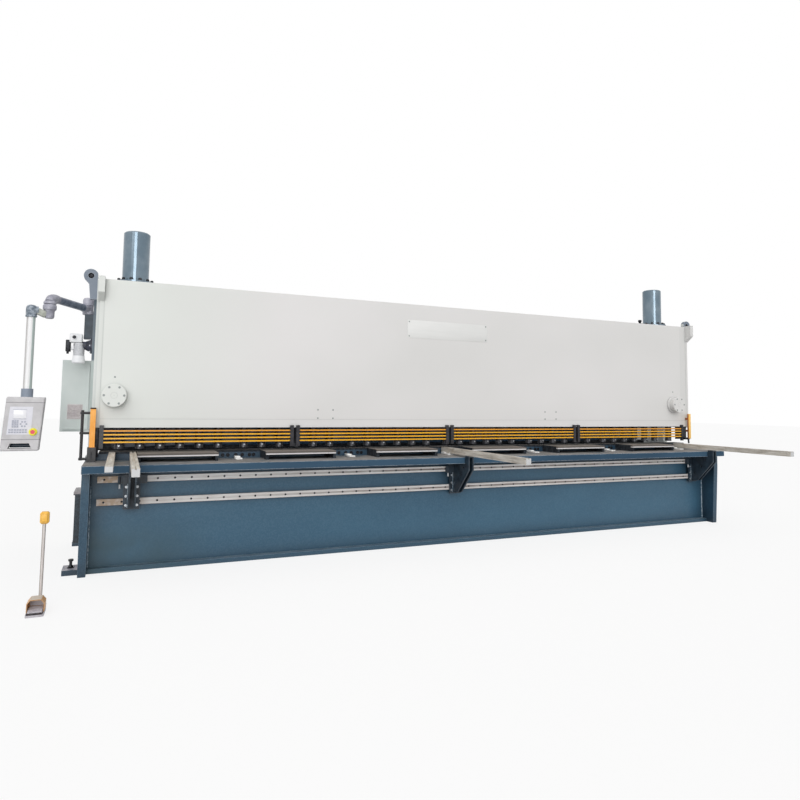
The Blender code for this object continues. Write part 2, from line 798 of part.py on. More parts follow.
def guards():
    """Finger guards: four rails between two posts for each bay, fixed to the panel's foot."""
    back = PANEL_FACE - GAP
    front = back - GUARD_POST_D
    bar_front = back - (GUARD_POST_D + GUARD_BAR_D) / 2
    for bay in range(GUARD_BAYS):
        start = GUARD_START + GUARD_PITCH * bay
        left = start + (GUARD_PAIR / 2 if bay else 0)
        right = start + GUARD_PITCH - (GUARD_PAIR / 2 if bay < GUARD_BAYS - 1 else 0)
        half = GUARD_POST_W / 2
        name = "guard_%d" % (bay + 1)
        posts = [((x - half, front, GUARD_FOOT), (x + half, back, GUARD_TOP))
                 for x in (left, right)]
        rails = [((left, bar_front, z - GUARD_BAR_H / 2),
                  (right, bar_front + GUARD_BAR_D, z + GUARD_BAR_H / 2)) for z in GUARD_BARS]
        frame = boxes(name, rails, yellow_paint())
        fuse(frame, boxes(name + "_posts", posts))


def roller_covers():
    """Round caps with a base ring, over the rollers that press the knife beam to its guides."""
    cap = COVER_DEPTH - COVER_CAP_T
    profile = [(0, COVER_DEPTH), (COVER_FLANGE_R, COVER_DEPTH), (COVER_FLANGE_R, cap),
               (COVER_NECK_R, cap), (COVER_NECK_R, COVER_BASE_T), (COVER_FLANGE_R, COVER_BASE_T),
               (COVER_FLANGE_R, 0), (0, 0)]
    for x, word in zip(COVER_XS, ("left", "right")):
        turned("roller_cover_" + word, profile, (x, PANEL_FACE - GAP, COVER_Z), (0, -1, 0),
               upper_paint())


def cylinders():
    """Cylinder barrels open below for their rods, standing on the frame by a round flange."""
    height = CYL_TOP - FRAME_TOP
    bore = ROD_R + PIN_PLAY
    bore_top = KNIFE_TOP + ROD_REACH + BITE * 2 - FRAME_TOP
    profile = [(0, height), (CYL_R - CYL_EDGE, height), (CYL_R, height - CYL_EDGE),
               (CYL_R, CYL_FLANGE_T), (CYL_FLANGE_R, CYL_FLANGE_T), (CYL_FLANGE_R, GAP),
               (bore, GAP), (bore, bore_top), (0, bore_top)]
    for side, word in ((-1, "left"), (1, "right")):
        turned("cylinder_" + word, profile, (side * CYL_X, CYL_Y, FRAME_TOP), (0, 0, 1),
               cylinder_paint())


def upper_frame():
    """Two cylinder seats with ribs below, joined by the tie beam across the back."""
    front = PANEL_FACE + PANEL_T + GAP
    half = INNER_HALF - GAP
    tie = boxes("upper_frame", [((-half, TIE_FRONT, TIE_FOOT),
                                 (half, TIE_FRONT + TIE_T, FRAME_TOP - BITE))], upper_paint())
    fuse(tie, boxes("tie_flange", [((-half, TIE_FRONT + TIE_T / 2, TIE_FOOT),
                                    (half, TIE_FRONT + TIE_T + TIE_FLANGE,
                                     TIE_FOOT + TIE_FLANGE_T))]))
    seat_under = FRAME_TOP - SEAT_T
    for side, word in ((-1, "left"), (1, "right")):
        left, right = sorted((side * SEAT_INNER, side * half))
        seat = boxes("seat_" + word, [((left, front, seat_under),
                                       (right, TIE_FRONT + BITE, FRAME_TOP))])
        rib_xs = (side * (SEAT_INNER + SEAT_RIB_T), side * (half - SEAT_RIB_T))
        ribs = boxes("seat_ribs_" + word, [
            ((x - SEAT_RIB_T / 2, KNIFE_FLANGE_BACK + BITE, seat_under - SEAT_RIB_H),
             (x + SEAT_RIB_T / 2, TIE_FRONT + BITE, FRAME_TOP - SEAT_T / 2)) for x in rib_xs])
        bore = bars("seat_bore_" + word, [
            (ROD_R + PIN_PLAY, (side * CYL_X, CYL_Y, seat_under - SEAT_T),
             (side * CYL_X, CYL_Y, FRAME_TOP + SEAT_T))], sides=32)
        fuse(tie, seat, ribs)
        cut(tie, bore)


def knife_edge(x):
    """Height of the raked upper blade's edge: low at the left, high at the right."""
    return SHEET_LEVEL + KNIFE_OPEN + (x + BLADE_HALF) * math.tan(math.radians(RAKE_DEG))


def knife():
    """Everything that the two cylinders drive down: beam, blade, rods and back gauge."""
    slide = axis_empty("knife_slide", (0, 0, SHEET_LEVEL))
    back = BLADE_GAP / 2 + BLADE_W + GAP
    half = KNIFE_HALF
    edge = [(-half, knife_edge(-half) + KNIFE_LIFT), (half, knife_edge(half) + KNIFE_LIFT),
            (half, KNIFE_TOP - KNIFE_FLANGE_T / 2), (-half, KNIFE_TOP - KNIFE_FLANGE_T / 2)]
    beam = outline("knife_beam", edge, "Y", back + KNIFE_T / 2, KNIFE_T, lower_paint())
    flange = boxes("knife_flange", [((-KNIFE_FLANGE_HALF, back + BITE, KNIFE_TOP - KNIFE_FLANGE_T),
                                     (KNIFE_FLANGE_HALF, KNIFE_FLANGE_BACK, KNIFE_TOP))])
    xs = [KNIFE_RIB_PITCH * (i - (KNIFE_RIBS - 1) / 2) for i in range(KNIFE_RIBS)]
    rib_top = KNIFE_TOP - KNIFE_FLANGE_T / 2
    ribs = boxes("knife_ribs", [((x - KNIFE_RIB_T / 2, back + BITE, KNIFE_RIB_FOOT),
                                 (x + KNIFE_RIB_T / 2, KNIFE_RIB_BACK, rib_top)) for x in xs])
    fuse(beam, flange, ribs)
    low = knife_edge(-BLADE_HALF)
    high = knife_edge(BLADE_HALF)
    blade_edge = [(-BLADE_HALF, low), (BLADE_HALF, high), (BLADE_HALF, high + BLADE_H),
                  (-BLADE_HALF, low + BLADE_H)]
    blade = outline("upper_blade", blade_edge, "Y", (BLADE_GAP + BLADE_W) / 2, BLADE_W,
                    bare_steel())
    carry(slide, beam, blade, back_gauge())
    for side, word in ((-1, "left"), (1, "right")):
        rod = bars("piston_rod_" + word, [(ROD_R, (side * CYL_X, CYL_Y, KNIFE_TOP + GAP),
                                           (side * CYL_X, CYL_Y, KNIFE_TOP + ROD_REACH))],
                   bare_steel(), sides=32)
        carry(slide, rod)


def back_gauge():
    """Two arms on the ribs of the knife beam, a cross tube, and the bar that stops the sheet."""
    low, high = GAUGE_ARM_Z
    half = GAUGE_ARM_W / 2
    arms = [((side * GAUGE_ARM_X - half, KNIFE_RIB_BACK + GAP, low),
             (side * GAUGE_ARM_X + half, GAUGE_BACK, high)) for side in (-1, 1)]
    gauge = boxes("back_gauge", arms, lower_paint())
    reach = GAUGE_ARM_X
    tube_top = high - BITE
    tube = boxes("gauge_tube", [((-reach, GAUGE_BACK - GAUGE_TUBE - BITE, tube_top - GAUGE_TUBE),
                                 (reach, GAUGE_BACK - BITE, tube_top))])
    face = boxes("gauge_face", [((-GAUGE_HALF, GAUGE_FACE, GAUGE_FOOT),
                                 (GAUGE_HALF, GAUGE_FACE + GAUGE_T, GAUGE_HEAD))])
    shelf = GAUGE_HEAD - GAUGE_FLANGE_T
    flange = boxes("gauge_flange", [((-GAUGE_HALF, GAUGE_FACE + GAUGE_T / 2, shelf - SKIM),
                                     (GAUGE_HALF, GAUGE_FACE + GAUGE_FLANGE, GAUGE_HEAD - SKIM))])
    hangers = boxes("gauge_hangers", [
        ((side * GAUGE_ARM_X - half + BITE, GAUGE_FACE + BITE, shelf - GAUGE_T),
         (side * GAUGE_ARM_X + half - BITE, GAUGE_FACE + GAUGE_FLANGE - BITE, low + BITE))
        for side in (-1, 1)])
    return fuse(gauge, tube, face, flange, hangers)


def knife_guides():
    """Bars on the side plates that the knife beam's back runs against."""
    front = BLADE_GAP / 2 + BLADE_W + GAP + KNIFE_T + RUN
    for side, word in ((-1, "left"), (1, "right")):
        left, right = sorted((side * GUIDE_INNER, side * (INNER_HALF - GAP)))
        boxes("knife_guide_" + word, [((left, front, GUIDE_FOOT), (right, GUIDE_BACK, GUIDE_HEAD))],
              bare_steel())


def oil_tank():
    """The oil tank on the tie beam's back, with a lid that stands out all round."""
    front = TIE_FRONT + TIE_T + GAP
    back = front + TANK_D
    low, high = TANK_Z
    left, right = TANK_X
    tank = boxes("oil_tank", [((left, front, low), (right, back, high))], upper_paint())
    lid = boxes("tank_lid", [((left - TANK_LID, front + SKIM, high - TANK_LID_T / 2),
                              (right + TANK_LID, back + TANK_LID, high + TANK_LID_T))])
    fuse(tank, lid)


def pump_motor():
    """An electric motor and its pump, lying on the tank lid."""
    lid_top = TANK_Z[1] + TANK_LID_T
    axis_z = lid_top + MOTOR_FOOT + MOTOR_R
    left, right = MOTOR_X
    motor = bars("pump_motor", [(MOTOR_R, (left, MOTOR_Y, axis_z), (right, MOTOR_Y, axis_z))],
                 lower_paint())
    pump = bars("pump_body", [(PUMP_R, (right - BITE, MOTOR_Y, axis_z),
                               (right + PUMP_LEN, MOTOR_Y, axis_z))])
    half = MOTOR_BASE_W / 2
    base = boxes("pump_base", [((left + BITE, MOTOR_Y - half, lid_top + GAP),
                                (right - BITE, MOTOR_Y + half, axis_z - MOTOR_R / 2))])
    fuse(motor, pump, base)


def control_cabinet():
    """A steel cabinet hung on the left side plate, its door standing proud of the front."""
    right = -OUTER - GAP
    left = -OUTER - CABINET_OUT
    low, high = CABINET_Z
    front, back = CABINET_Y
    shell = boxes("control_cabinet", [((left, front, low), (right, back, high))],
                  cabinet_paint())
    margin = CABINET_MARGIN
    door = boxes("cabinet_door", [((left + margin, front - CABINET_DOOR, low + margin),
                                   (right - margin, front + CABINET_DOOR, high - margin))])
    fuse(shell, door)


def side_box():
    """A junction box low on the left side plate, under a folded rain cap."""
    right = -OUTER - GAP
    left = -OUTER - SIDE_BOX_OUT
    low, high = SIDE_BOX_Z
    front, back = SIDE_BOX_Y
    shell = boxes("side_box", [((left, front, low), (right, back, high))], lower_paint())
    cap = boxes("side_box_cap", [((left - SIDE_CAP, front - SIDE_CAP, high - SIDE_CAP_T / 2),
                                  (right - GAP, back + SIDE_CAP, high + SIDE_CAP_T))])
    fuse(shell, cap)


def gap_motor():
    """A small geared motor that turns the blade-gap adjustment through the left side plate."""
    half = GEAR_SIZE / 2
    gear = boxes("gap_motor", [((GEAR_X - half, GEAR_Y - half, GEAR_Z - half),
                                (GEAR_X + half, GEAR_Y + half, GEAR_Z + half))], lower_paint())
    shaft = bars("gap_shaft", [(GEAR_SHAFT_R, (GEAR_X, GEAR_Y, GEAR_Z),
                                (-OUTER - GAP, GEAR_Y, GEAR_Z))])
    motor = bars("gap_motor_body", [(GEAR_MOTOR_R, (GEAR_X, GEAR_Y, GEAR_MOTOR_FOOT),
                                     (GEAR_X, GEAR_Y, GEAR_Z))])
    wide, deep, tall = GEAR_BOX
    middle = (GEAR_MOTOR_FOOT + GEAR_Z - half) / 2
    front = GEAR_Y - GEAR_MOTOR_R - deep / 2
    terminal = boxes("gap_terminal_box", [((GEAR_X - wide / 2, front, middle - tall / 2),
                                           (GEAR_X + wide / 2, front + deep, middle + tall / 2))])
    fuse(gear, shaft, motor, terminal)


def light_curtains():
    """Upright light-curtain bars at both ends of the table, the left one with a stay rod."""
    low, high = CURTAIN_Z
    for x, word in zip(CURTAIN_XS, ("left", "right")):
        half = CURTAIN_W / 2
        name = "light_curtain_" + word
        bar_box = boxes(name, [((x - half, CURTAIN_Y - CURTAIN_D / 2, low - BITE),
                                (x + half, CURTAIN_Y + CURTAIN_D / 2, high))], yellow_paint())
        shoe = CURTAIN_SHOE / 2
        fuse(bar_box, boxes(name + "_shoe", [((x - shoe, CURTAIN_Y - shoe, TABLE_TOP + GAP),
                                              (x + shoe, CURTAIN_Y + shoe, low))]))
        if word == "left":
            fuse(bar_box, *stay_rod(x))


def stay_rod(x):
    """An upright rod beside the bar, joined to it by three cross links."""
    rod_x = x - CURTAIN_STAND
    low, high = CURTAIN_ROD_Z
    pieces = [bars("stay_upright", [(CURTAIN_ROD_R, (rod_x, CURTAIN_Y, low - CURTAIN_ROD_R),
                                     (rod_x, CURTAIN_Y, high + CURTAIN_ROD_R * 2))], sides=12)]
    for number, z in enumerate((low, CURTAIN_LINK_Z, high)):
        link = (CURTAIN_ROD_R - SKIM, (rod_x - 2 * BITE, CURTAIN_Y, z), (x, CURTAIN_Y, z))
        pieces.append(bars("stay_link_%d" % number, [link], sides=12))
    return pieces


def pendant():
    """The post, swing arm, elbow link and drop tube that carry the operator's pendant."""
    base = POST_Z[1]
    post = boxes("arm_post", [((-OUTER - POST_OUT, POST_Y - POST_D / 2, POST_Z[0]),
                               (-OUTER - GAP, POST_Y + POST_D / 2, base))], black_paint())
    pin_top = base + SWING_HUB_H / 2
    fuse(post, bars("post_pin", [(SWING_PIN_R, (SWING_X, POST_Y, base - BITE),
                                  (SWING_X, POST_Y, pin_top))]))
    swing_axis = axis_empty("swing_axis", (SWING_X, POST_Y, base))
    elbow_axis = axis_empty("elbow_axis", (*ELBOW, base), swing_axis)
    drop_axis = axis_empty("drop_axis", (*DROP, DROP_TOP), elbow_axis)
    carry(swing_axis, swing_arm(base, pin_top))
    carry(elbow_axis, elbow_link(base))
    carry(drop_axis, drop_tube(), pendant_box(drop_axis))


def swing_arm(base, pin_top):
    """The long tube between the hub on the post and the elbow's boss."""
    low = base + GAP
    hub = bars("swing_arm", [(SWING_HUB_R, (SWING_X, POST_Y, low),
                              (SWING_X, POST_Y, low + SWING_HUB_H))], pendant_plastic())
    mid = low + SWING_TUBE_RISE
    tube = bars("swing_tube", [(SWING_TUBE_R, (SWING_X, POST_Y, mid), (*ELBOW, mid))])
    boss = bars("swing_boss", [(ELBOW_R, (*ELBOW, low), (*ELBOW, low + ELBOW_H))])
    bore = SWING_PIN_R + PIN_PLAY
    sockets = bars("swing_sockets", [
        (bore, (SWING_X, POST_Y, low - BITE), (SWING_X, POST_Y, pin_top + PIN_PLAY)),
        (bore, (*ELBOW, low - BITE), (*ELBOW, low + ELBOW_H / 2 + PIN_PLAY))])
    return cut(fuse(hub, tube, boss), sockets)


def elbow_link(base):
    """The short link that steps down from the swing arm to the drop tube."""
    top = base - GAP
    hub = bars("elbow_link", [(LINK_HUB_R, (*ELBOW, top - LINK_T), (*ELBOW, top))],
               pendant_plastic())
    pin = bars("elbow_pin", [(SWING_PIN_R, (*ELBOW, top - BITE),
                              (*ELBOW, base + GAP + ELBOW_H / 2))])
    drop_z = DROP_TOP + DROP_HUB_H / 2
    tube = bars("link_tube", [(LINK_TUBE_R, (*ELBOW, top - LINK_T / 2), (*DROP, drop_z))])
    boss = bars("link_boss", [(DROP_HUB_R, (*DROP, DROP_TOP), (*DROP, DROP_TOP + DROP_HUB_H))])
    socket = bars("link_socket", [(SWING_PIN_R + PIN_PLAY, (*DROP, DROP_TOP - BITE),
                                   (*DROP, DROP_TOP + DROP_HUB_H / 2 + PIN_PLAY))])
    return cut(fuse(hub, pin, tube, boss), socket)


def collar_top():
    return PENDANT_Z[1] + COLLAR_H


def drop_tube():
    """The tube that hangs from the link and carries the box, with its pin at the top."""
    top = DROP_TOP - GAP
    tube = bars("pendant_tube", [(DROP_TUBE_R, (*DROP, collar_top()), (*DROP, top))],
                drop_tube_metal())
    pin = bars("drop_pin", [(SWING_PIN_R, (*DROP, top - BITE), (*DROP, top + DROP_HUB_H / 2))])
    return fuse(tube, pin)


def pendant_box(drop_axis):
    """The operator's box, with a handle bar cut through its foot and a stop button."""
    low, high = PENDANT_Z
    left = PENDANT_X - PENDANT_W / 2
    right = PENDANT_X + PENDANT_W / 2
    front = DROP[1] - PENDANT_D / 2
    sides = [(left - PENDANT_LEAN, low), (right - PENDANT_LEAN, low), (right, high), (left, high)]
    case = outline("pendant_box", sides, "Y", DROP[1], PENDANT_D, pendant_plastic())
    bevel = case.modifiers.new("Rounded edges", "BEVEL")
    bevel.width = PENDANT_EDGE
    bevel.segments = 2
    wide, narrow = HANDLE_HALF
    ring = [(HANDLE_X - wide, HANDLE_Z[0]), (HANDLE_X + wide, HANDLE_Z[0]),
            (HANDLE_X + narrow, HANDLE_Z[1]), (HANDLE_X - narrow, HANDLE_Z[1])]
    hole = outline("handle_hole", ring, "Y", DROP[1], PENDANT_D * 2)
    collar = bars("pendant_collar", [(COLLAR_R, (*DROP, high - BITE), (*DROP, collar_top() - GAP))])
    stem_hole = bars("stop_hole", [(STOP_STEM_R + PIN_PLAY, (STOP_X, front - 2 * STOP_OUT, STOP_Z),
                                    (STOP_X, front + STOP_OUT, STOP_Z))])
    ring_plate = bars("stop_collar", [(STOP_COLLAR_R, (STOP_X, front - STOP_COLLAR_T, STOP_Z),
                                       (STOP_X, front + STOP_COLLAR_T, STOP_Z))])
    cut(fuse(case, collar, ring_plate), hole, stem_hole)
    carry(drop_axis, stop_button(front))
    return case


def stop_button(front):
    """A red mushroom head on a stem that slides in the box."""
    head_back = front - STOP_COLLAR_T - STOP_PRESS - RUN
    head = bars("stop_button", [(STOP_R, (STOP_X, head_back - 2 * STOP_COLLAR_T, STOP_Z),
                                 (STOP_X, head_back, STOP_Z))], stop_red())
    stem = bars("stop_stem", [(STOP_STEM_R, (STOP_X, head_back - STOP_COLLAR_T, STOP_Z),
                               (STOP_X, front + STOP_OUT - STOP_PRESS - RUN, STOP_Z))])
    return fuse(head, stem)


def pedal_station():
    """A foot pedal under its hood, with a slim pole and a switch box, standing by itself."""
    front, back = PEDAL_Y
    roof_front, roof_back = PEDAL_ROOF
    wall = PEDAL_WALL
    hood_edge = [(front, 0), (back, 0), (back, PEDAL_HEEL_H), (back - roof_back, PEDAL_H),
                 (front + roof_front, PEDAL_H), (front, PEDAL_MOUTH_H)]
    hood = outline("pedal_hood", hood_edge, "X", PEDAL_X, PEDAL_W, yellow_paint())
    heel = back - PEDAL_HEEL_T
    inside_edge = [(front - BITE, wall), (heel, wall), (heel, PEDAL_HEEL_H - wall),
                   (back - roof_back - wall, PEDAL_H - wall),
                   (front + roof_front, PEDAL_H - wall), (front - BITE, PEDAL_MOUTH_H - wall)]
    cut(hood, outline("hood_inside", inside_edge, "X", PEDAL_X, PEDAL_W - 2 * wall))
    pole_y = back + POLE_R + GAP
    post = bars("pedal_post", [(POLE_R, (PEDAL_X, pole_y, POLE_FOOT),
                                (PEDAL_X, pole_y, POLE_TOP))], bare_steel())
    wide, deep, tall = SWITCH_BOX
    fuse(post, boxes("switch_box", [((PEDAL_X - wide / 2, pole_y - deep / 2, POLE_TOP - BITE),
                                     (PEDAL_X + wide / 2, pole_y + deep / 2, POLE_TOP + tall))]))
    tread(PEDAL_X - PEDAL_W / 2 + wall, PEDAL_X + PEDAL_W / 2 - wall)


def tread(left, right):
    """The pedal itself, hinged at the back of the hood on a cross boss."""
    hinge = axis_empty("pedal_axis", (PEDAL_X, *TREAD_AXIS))
    y0, z0 = TREAD_AXIS
    y1, z1 = TREAD_TIP
    half = TREAD_T / 2
    edge = [(y0, z0 - half), (y0, z0 + half), (y1, z1 + half), (y1, z1 - half)]
    wide = right - left - 2 * TREAD_SIDE
    plate = outline("pedal", edge, "X", PEDAL_X, wide, bare_steel())
    boss = bars("tread_boss", [(TREAD_BOSS_R, (left + PIN_PLAY, y0, z0),
                                (right - PIN_PLAY, y0, z0))], sides=16)
    carry(hinge, fuse(plate, boss))


for old in list(bpy.data.objects):
    bpy.data.objects.remove(old)

machine = bpy.data.collections.new("guillotine_shear")
tools = bpy.data.collections.new("working_shapes")
for group in (machine, tools):
    bpy.context.scene.collection.children.link(group)

side_plates()
bed_frame()
table_plate()
lower_knife_beam()
sheet_deck()
guide_rails()
squaring_arm()
support_arms()
front_panel()
holddown()
guards()
roller_covers()
cylinders()
upper_frame()
knife()
knife_guides()
oil_tank()
pump_motor()
control_cabinet()
side_box()
gap_motor()
light_curtains()
pendant()
pedal_station()
bpy.context.view_layer.update()
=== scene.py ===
import math

import bmesh
import bpy
from mathutils import Matrix, Vector


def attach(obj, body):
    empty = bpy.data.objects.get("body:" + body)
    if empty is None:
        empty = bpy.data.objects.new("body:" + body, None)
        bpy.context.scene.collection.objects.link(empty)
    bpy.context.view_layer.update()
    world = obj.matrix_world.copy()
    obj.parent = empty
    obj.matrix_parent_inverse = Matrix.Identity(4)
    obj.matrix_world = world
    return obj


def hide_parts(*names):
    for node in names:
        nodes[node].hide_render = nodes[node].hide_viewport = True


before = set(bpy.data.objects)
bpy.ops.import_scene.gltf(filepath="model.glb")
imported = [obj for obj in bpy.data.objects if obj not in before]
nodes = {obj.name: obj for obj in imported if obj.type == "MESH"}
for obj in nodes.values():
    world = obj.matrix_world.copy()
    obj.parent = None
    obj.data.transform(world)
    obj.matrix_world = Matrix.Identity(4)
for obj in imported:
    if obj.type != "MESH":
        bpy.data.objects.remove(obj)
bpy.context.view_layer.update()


# Studio
# A white floor and sky, a wide lamp high on the left, a low one in front, and a strip lamp that
# lights a bright line on the cylinders. The floor looks white and keeps the machine's shadow.
SKY_LEVEL = 0.5
FLOOR_HALF = 60
PICTURE = 800
LENS_PIXELS = 629.43
MIDDLE_ROW = 360.66
CAMERA_PLACE = (-3.8363, -7.3548, 1.6432)
CAMERA_TURNS = (23.611, 4.08, 0.729)
SUNS = (("main_lamp", 1.15, 60, (48, 0, -26)), ("front_lamp", 0.90, 30, (88, 0, -14)))


def tone(code):
    """The linear colour of a six-digit colour code."""
    parts = [int(code[i:i + 2], 16) / 255 for i in (0, 2, 4)]
    line = [p / 12.92 if p <= 0.04045 else ((p + 0.055) / 1.055) ** 2.4 for p in parts]
    return (*line, 1.0)


def add(tree, kind, inputs, **settings):
    """Add one node; an input that is given a socket is wired, any other is set."""
    node = tree.nodes.new(kind)
    for key, value in settings.items():
        setattr(node, key, value)
    for key, value in inputs.items():
        if isinstance(value, bpy.types.NodeSocket):
            tree.links.new(value, node.inputs[key])
        else:
            node.inputs[key].default_value = value
    return node


def result(tree, kind, inputs, **settings):
    """Add one node and give its first output."""
    return add(tree, kind, inputs, **settings).outputs[0]


def seen_plainly(tree):
    """1 for rays from the camera, from gloss and through glass, 0 for the rest."""
    rays = add(tree, "ShaderNodeLightPath", {}).outputs
    gloss = result(tree, "ShaderNodeMath", {0: rays["Is Camera Ray"], 1: rays["Is Glossy Ray"]},
                   operation="MAXIMUM")
    return result(tree, "ShaderNodeMath", {0: gloss, 1: rays["Is Transmission Ray"]},
                  operation="MAXIMUM")


def placed(name, data):
    """Put some data into the scene as an object."""
    thing = bpy.data.objects.new(name, data)
    bpy.context.scene.collection.objects.link(thing)
    return thing


scene = bpy.context.scene
scene.view_settings.view_transform = "Standard"

sky = bpy.data.worlds.new("white_sky")
sky.use_nodes = True
scene.world = sky
level = result(sky.node_tree, "ShaderNodeMapRange", {"Value": seen_plainly(sky.node_tree),
                                                     "To Min": SKY_LEVEL, "To Max": 1.0})
dome = sky.node_tree.nodes["Background"]
dome.inputs["Color"].default_value = (1, 1, 1, 1)
sky.node_tree.links.new(level, dome.inputs["Strength"])

floor_mesh = bpy.data.meshes.new("floor")
floor_mesh.from_pydata([(x * FLOOR_HALF, y * FLOOR_HALF, 0)
                        for x, y in ((-1, -1), (1, -1), (1, 1), (-1, 1))], [], [(0, 1, 2, 3)])
floor = placed("floor", floor_mesh)
floor_white = bpy.data.materials.new("floor_white")
floor_white.use_nodes = True
tree = floor_white.node_tree
base = tree.nodes["Principled BSDF"]
base.inputs["Roughness"].default_value = 0.9
paint = result(tree, "ShaderNodeMapRange", {"Value": seen_plainly(tree), "To Min": 0.5,
                                            "To Max": 1.0})
tree.links.new(paint, base.inputs["Base Color"])
glow = result(tree, "ShaderNodeEmission", {"Color": (1, 1, 1, 1), "Strength": 1.0})
share = result(tree, "ShaderNodeMath", {0: seen_plainly(tree), 1: 0.8}, operation="MULTIPLY")
blend = result(tree, "ShaderNodeMixShader", {0: share, 1: base.outputs[0], 2: glow})
tree.links.new(blend, tree.nodes["Material Output"].inputs["Surface"])
floor_mesh.materials.append(floor_white)

for name, strength, width, turn in SUNS:
    light = bpy.data.lights.new(name, "SUN")
    light.energy = strength
    light.angle = math.radians(width)
    placed(name, light).rotation_euler = [math.radians(a) for a in turn]
strip = bpy.data.lights.new("strip_lamp", "AREA")
strip.shape = "RECTANGLE"
strip.size, strip.size_y = 0.35, 6.0
strip.energy = 50
lamp = placed("strip_lamp", strip)
lamp.matrix_world = Matrix.Translation((-4.6, -9.5, 3.4)) @ Matrix.Rotation(math.pi / 2, 4, "X")
lamp.visible_camera = False

lens = bpy.data.cameras.new("camera")
lens.sensor_width = 36
lens.lens = lens.sensor_width * LENS_PIXELS / PICTURE
lens.shift_y = (MIDDLE_ROW - PICTURE / 2) / PICTURE
lens.clip_end = 200
camera = placed("camera", lens)
yaw, pitch, roll = (math.radians(a) for a in CAMERA_TURNS)
ahead = Vector((math.sin(yaw) * math.cos(pitch), math.cos(yaw) * math.cos(pitch),
                math.sin(pitch)))
level_right = Vector((math.cos(yaw), -math.sin(yaw), 0))
above = level_right.cross(ahead)
right = level_right * math.cos(roll) + above * math.sin(roll)
above = above * math.cos(roll) - level_right * math.sin(roll)
camera.matrix_world = (Matrix.Translation(CAMERA_PLACE)
                       @ Matrix((right, above, -ahead)).transposed().to_4x4())
scene.camera = camera


# Side plates
# Thick C-shaped end plates, flame cut, machined and sprayed: dark blue up to the table and
# pale grey above it. The feet carry levelling bolts, and a bead of weld joins them to the bed.
PLATE_FACE = (4.1305, 4.1310)
FOOT_FACE = (4.172, 4.173)
BLUE_TOP = (1.075, 1.095)
BED_END_X = 4.0985
FOOT_X, FOOT_YS, FOOT_TOP = 4.24, (-0.435, 0.911), 0.05


class Finish:
    """A node material whose patterns all follow the piece's own coordinates, in metres."""

    def __init__(self, name, colour, roughness, metallic=0.0):
        self.material = bpy.data.materials.new(name)
        self.material.use_nodes = True
        self.tree = self.material.node_tree
        self.shader = self.tree.nodes["Principled BSDF"]
        self.shader.inputs["Base Color"].default_value = tone(colour)
        self.shader.inputs["Roughness"].default_value = roughness
        self.shader.inputs["Metallic"].default_value = metallic
        self.place = add(self.tree, "ShaderNodeTexCoord", {}).outputs["Object"]

    def noise(self, size, stretch=(1, 1, 1), detail=3.0):
        """Cloudy pattern whose patches are about the given size."""
        at = result(self.tree, "ShaderNodeMapping",
                    {"Vector": self.place, "Scale": [s / size for s in stretch]})
        return result(self.tree, "ShaderNodeTexNoise",
                      {"Vector": at, "Scale": 1.0, "Detail": detail, "Roughness": 0.55})

    def along(self, axis):
        """How far along X, Y or Z a point lies."""
        return add(self.tree, "ShaderNodeSeparateXYZ", {0: self.place}).outputs[axis]

    def band(self, value, start, end, low=0.0, high=1.0):
        """Rise from low to high while the value goes from start to end."""
        return result(self.tree, "ShaderNodeMapRange", {"Value": value, "From Min": start,
                                                        "From Max": end, "To Min": low,
                                                        "To Max": high})

    def calc(self, operation, first, second=0.0):
        return result(self.tree, "ShaderNodeMath", {0: first, 1: second}, operation=operation)

    def both(self, first, second):
        """The product of two masks, or of a mask and a share."""
        return self.calc("MULTIPLY", first, second)

    def off(self, value, middle):
        """Distance of a value from a middle one."""
        return self.calc("ABSOLUTE", self.calc("SUBTRACT", value, middle))

    def zone(self, *limits):
        """1 where every value lies past its limit, 0 elsewhere."""
        mask = 1.0
        for value, limit, other in limits:
            mask = self.both(mask, self.band(value, limit, other))
        return mask

    def facing(self, axis="Z", start=0.6, end=0.95):
        """1 on faces that look along an axis, 0 on the others."""
        normal = add(self.tree, "ShaderNodeNewGeometry", {}).outputs["Normal"]
        share = add(self.tree, "ShaderNodeSeparateXYZ", {0: normal}).outputs[axis]
        return self.band(share, start, end)

    def shade_nooks(self, reach):
        """1 deep in corners and under ledges, 0 on open faces: where shade is painted in."""
        open_share = add(self.tree, "ShaderNodeAmbientOcclusion", {"Distance": reach},
                         samples=6).outputs["AO"]
        return self.band(open_share, 0.9, 0.4)

    def edges(self, radius):
        """1 along outer and inner edges, 0 on flat faces."""
        soft = result(self.tree, "ShaderNodeBevel", {"Radius": radius}, samples=4)
        plain = add(self.tree, "ShaderNodeNewGeometry", {}).outputs["Normal"]
        dot = add(self.tree, "ShaderNodeVectorMath", {0: soft, 1: plain},
                  operation="DOT_PRODUCT").outputs["Value"]
        return self.band(dot, 0.98, 0.80)

    def mix(self, amount, first, second):
        """Blend two colours; each is a colour code or a socket."""
        node = add(self.tree, "ShaderNodeMix", {}, data_type="RGBA")
        for index, value in ((0, amount), (6, first), (7, second)):
            if isinstance(value, bpy.types.NodeSocket):
                self.tree.links.new(value, node.inputs[index])
            else:
                node.inputs[index].default_value = tone(value) if index else value
        return node.outputs[2]

    def clouds(self, size, dark, light, start=0.4, end=0.65, stretch=(1, 1, 1)):
        """Two colours in soft patches of about the given size."""
        return self.mix(self.band(self.noise(size, stretch), start, end), dark, light)

    def colour(self, socket):
        self.tree.links.new(socket, self.shader.inputs["Base Color"])

    def rough(self, value, low, high):
        self.tree.links.new(self.band(value, 0.3, 0.7, low, high),
                            self.shader.inputs["Roughness"])

    def bump(self, value, depth):
        """Raise the surface by up to the given depth where the value is high."""
        relief = result(self.tree, "ShaderNodeBump", {"Height": value, "Distance": depth})
        self.tree.links.new(relief, self.shader.inputs["Normal"])


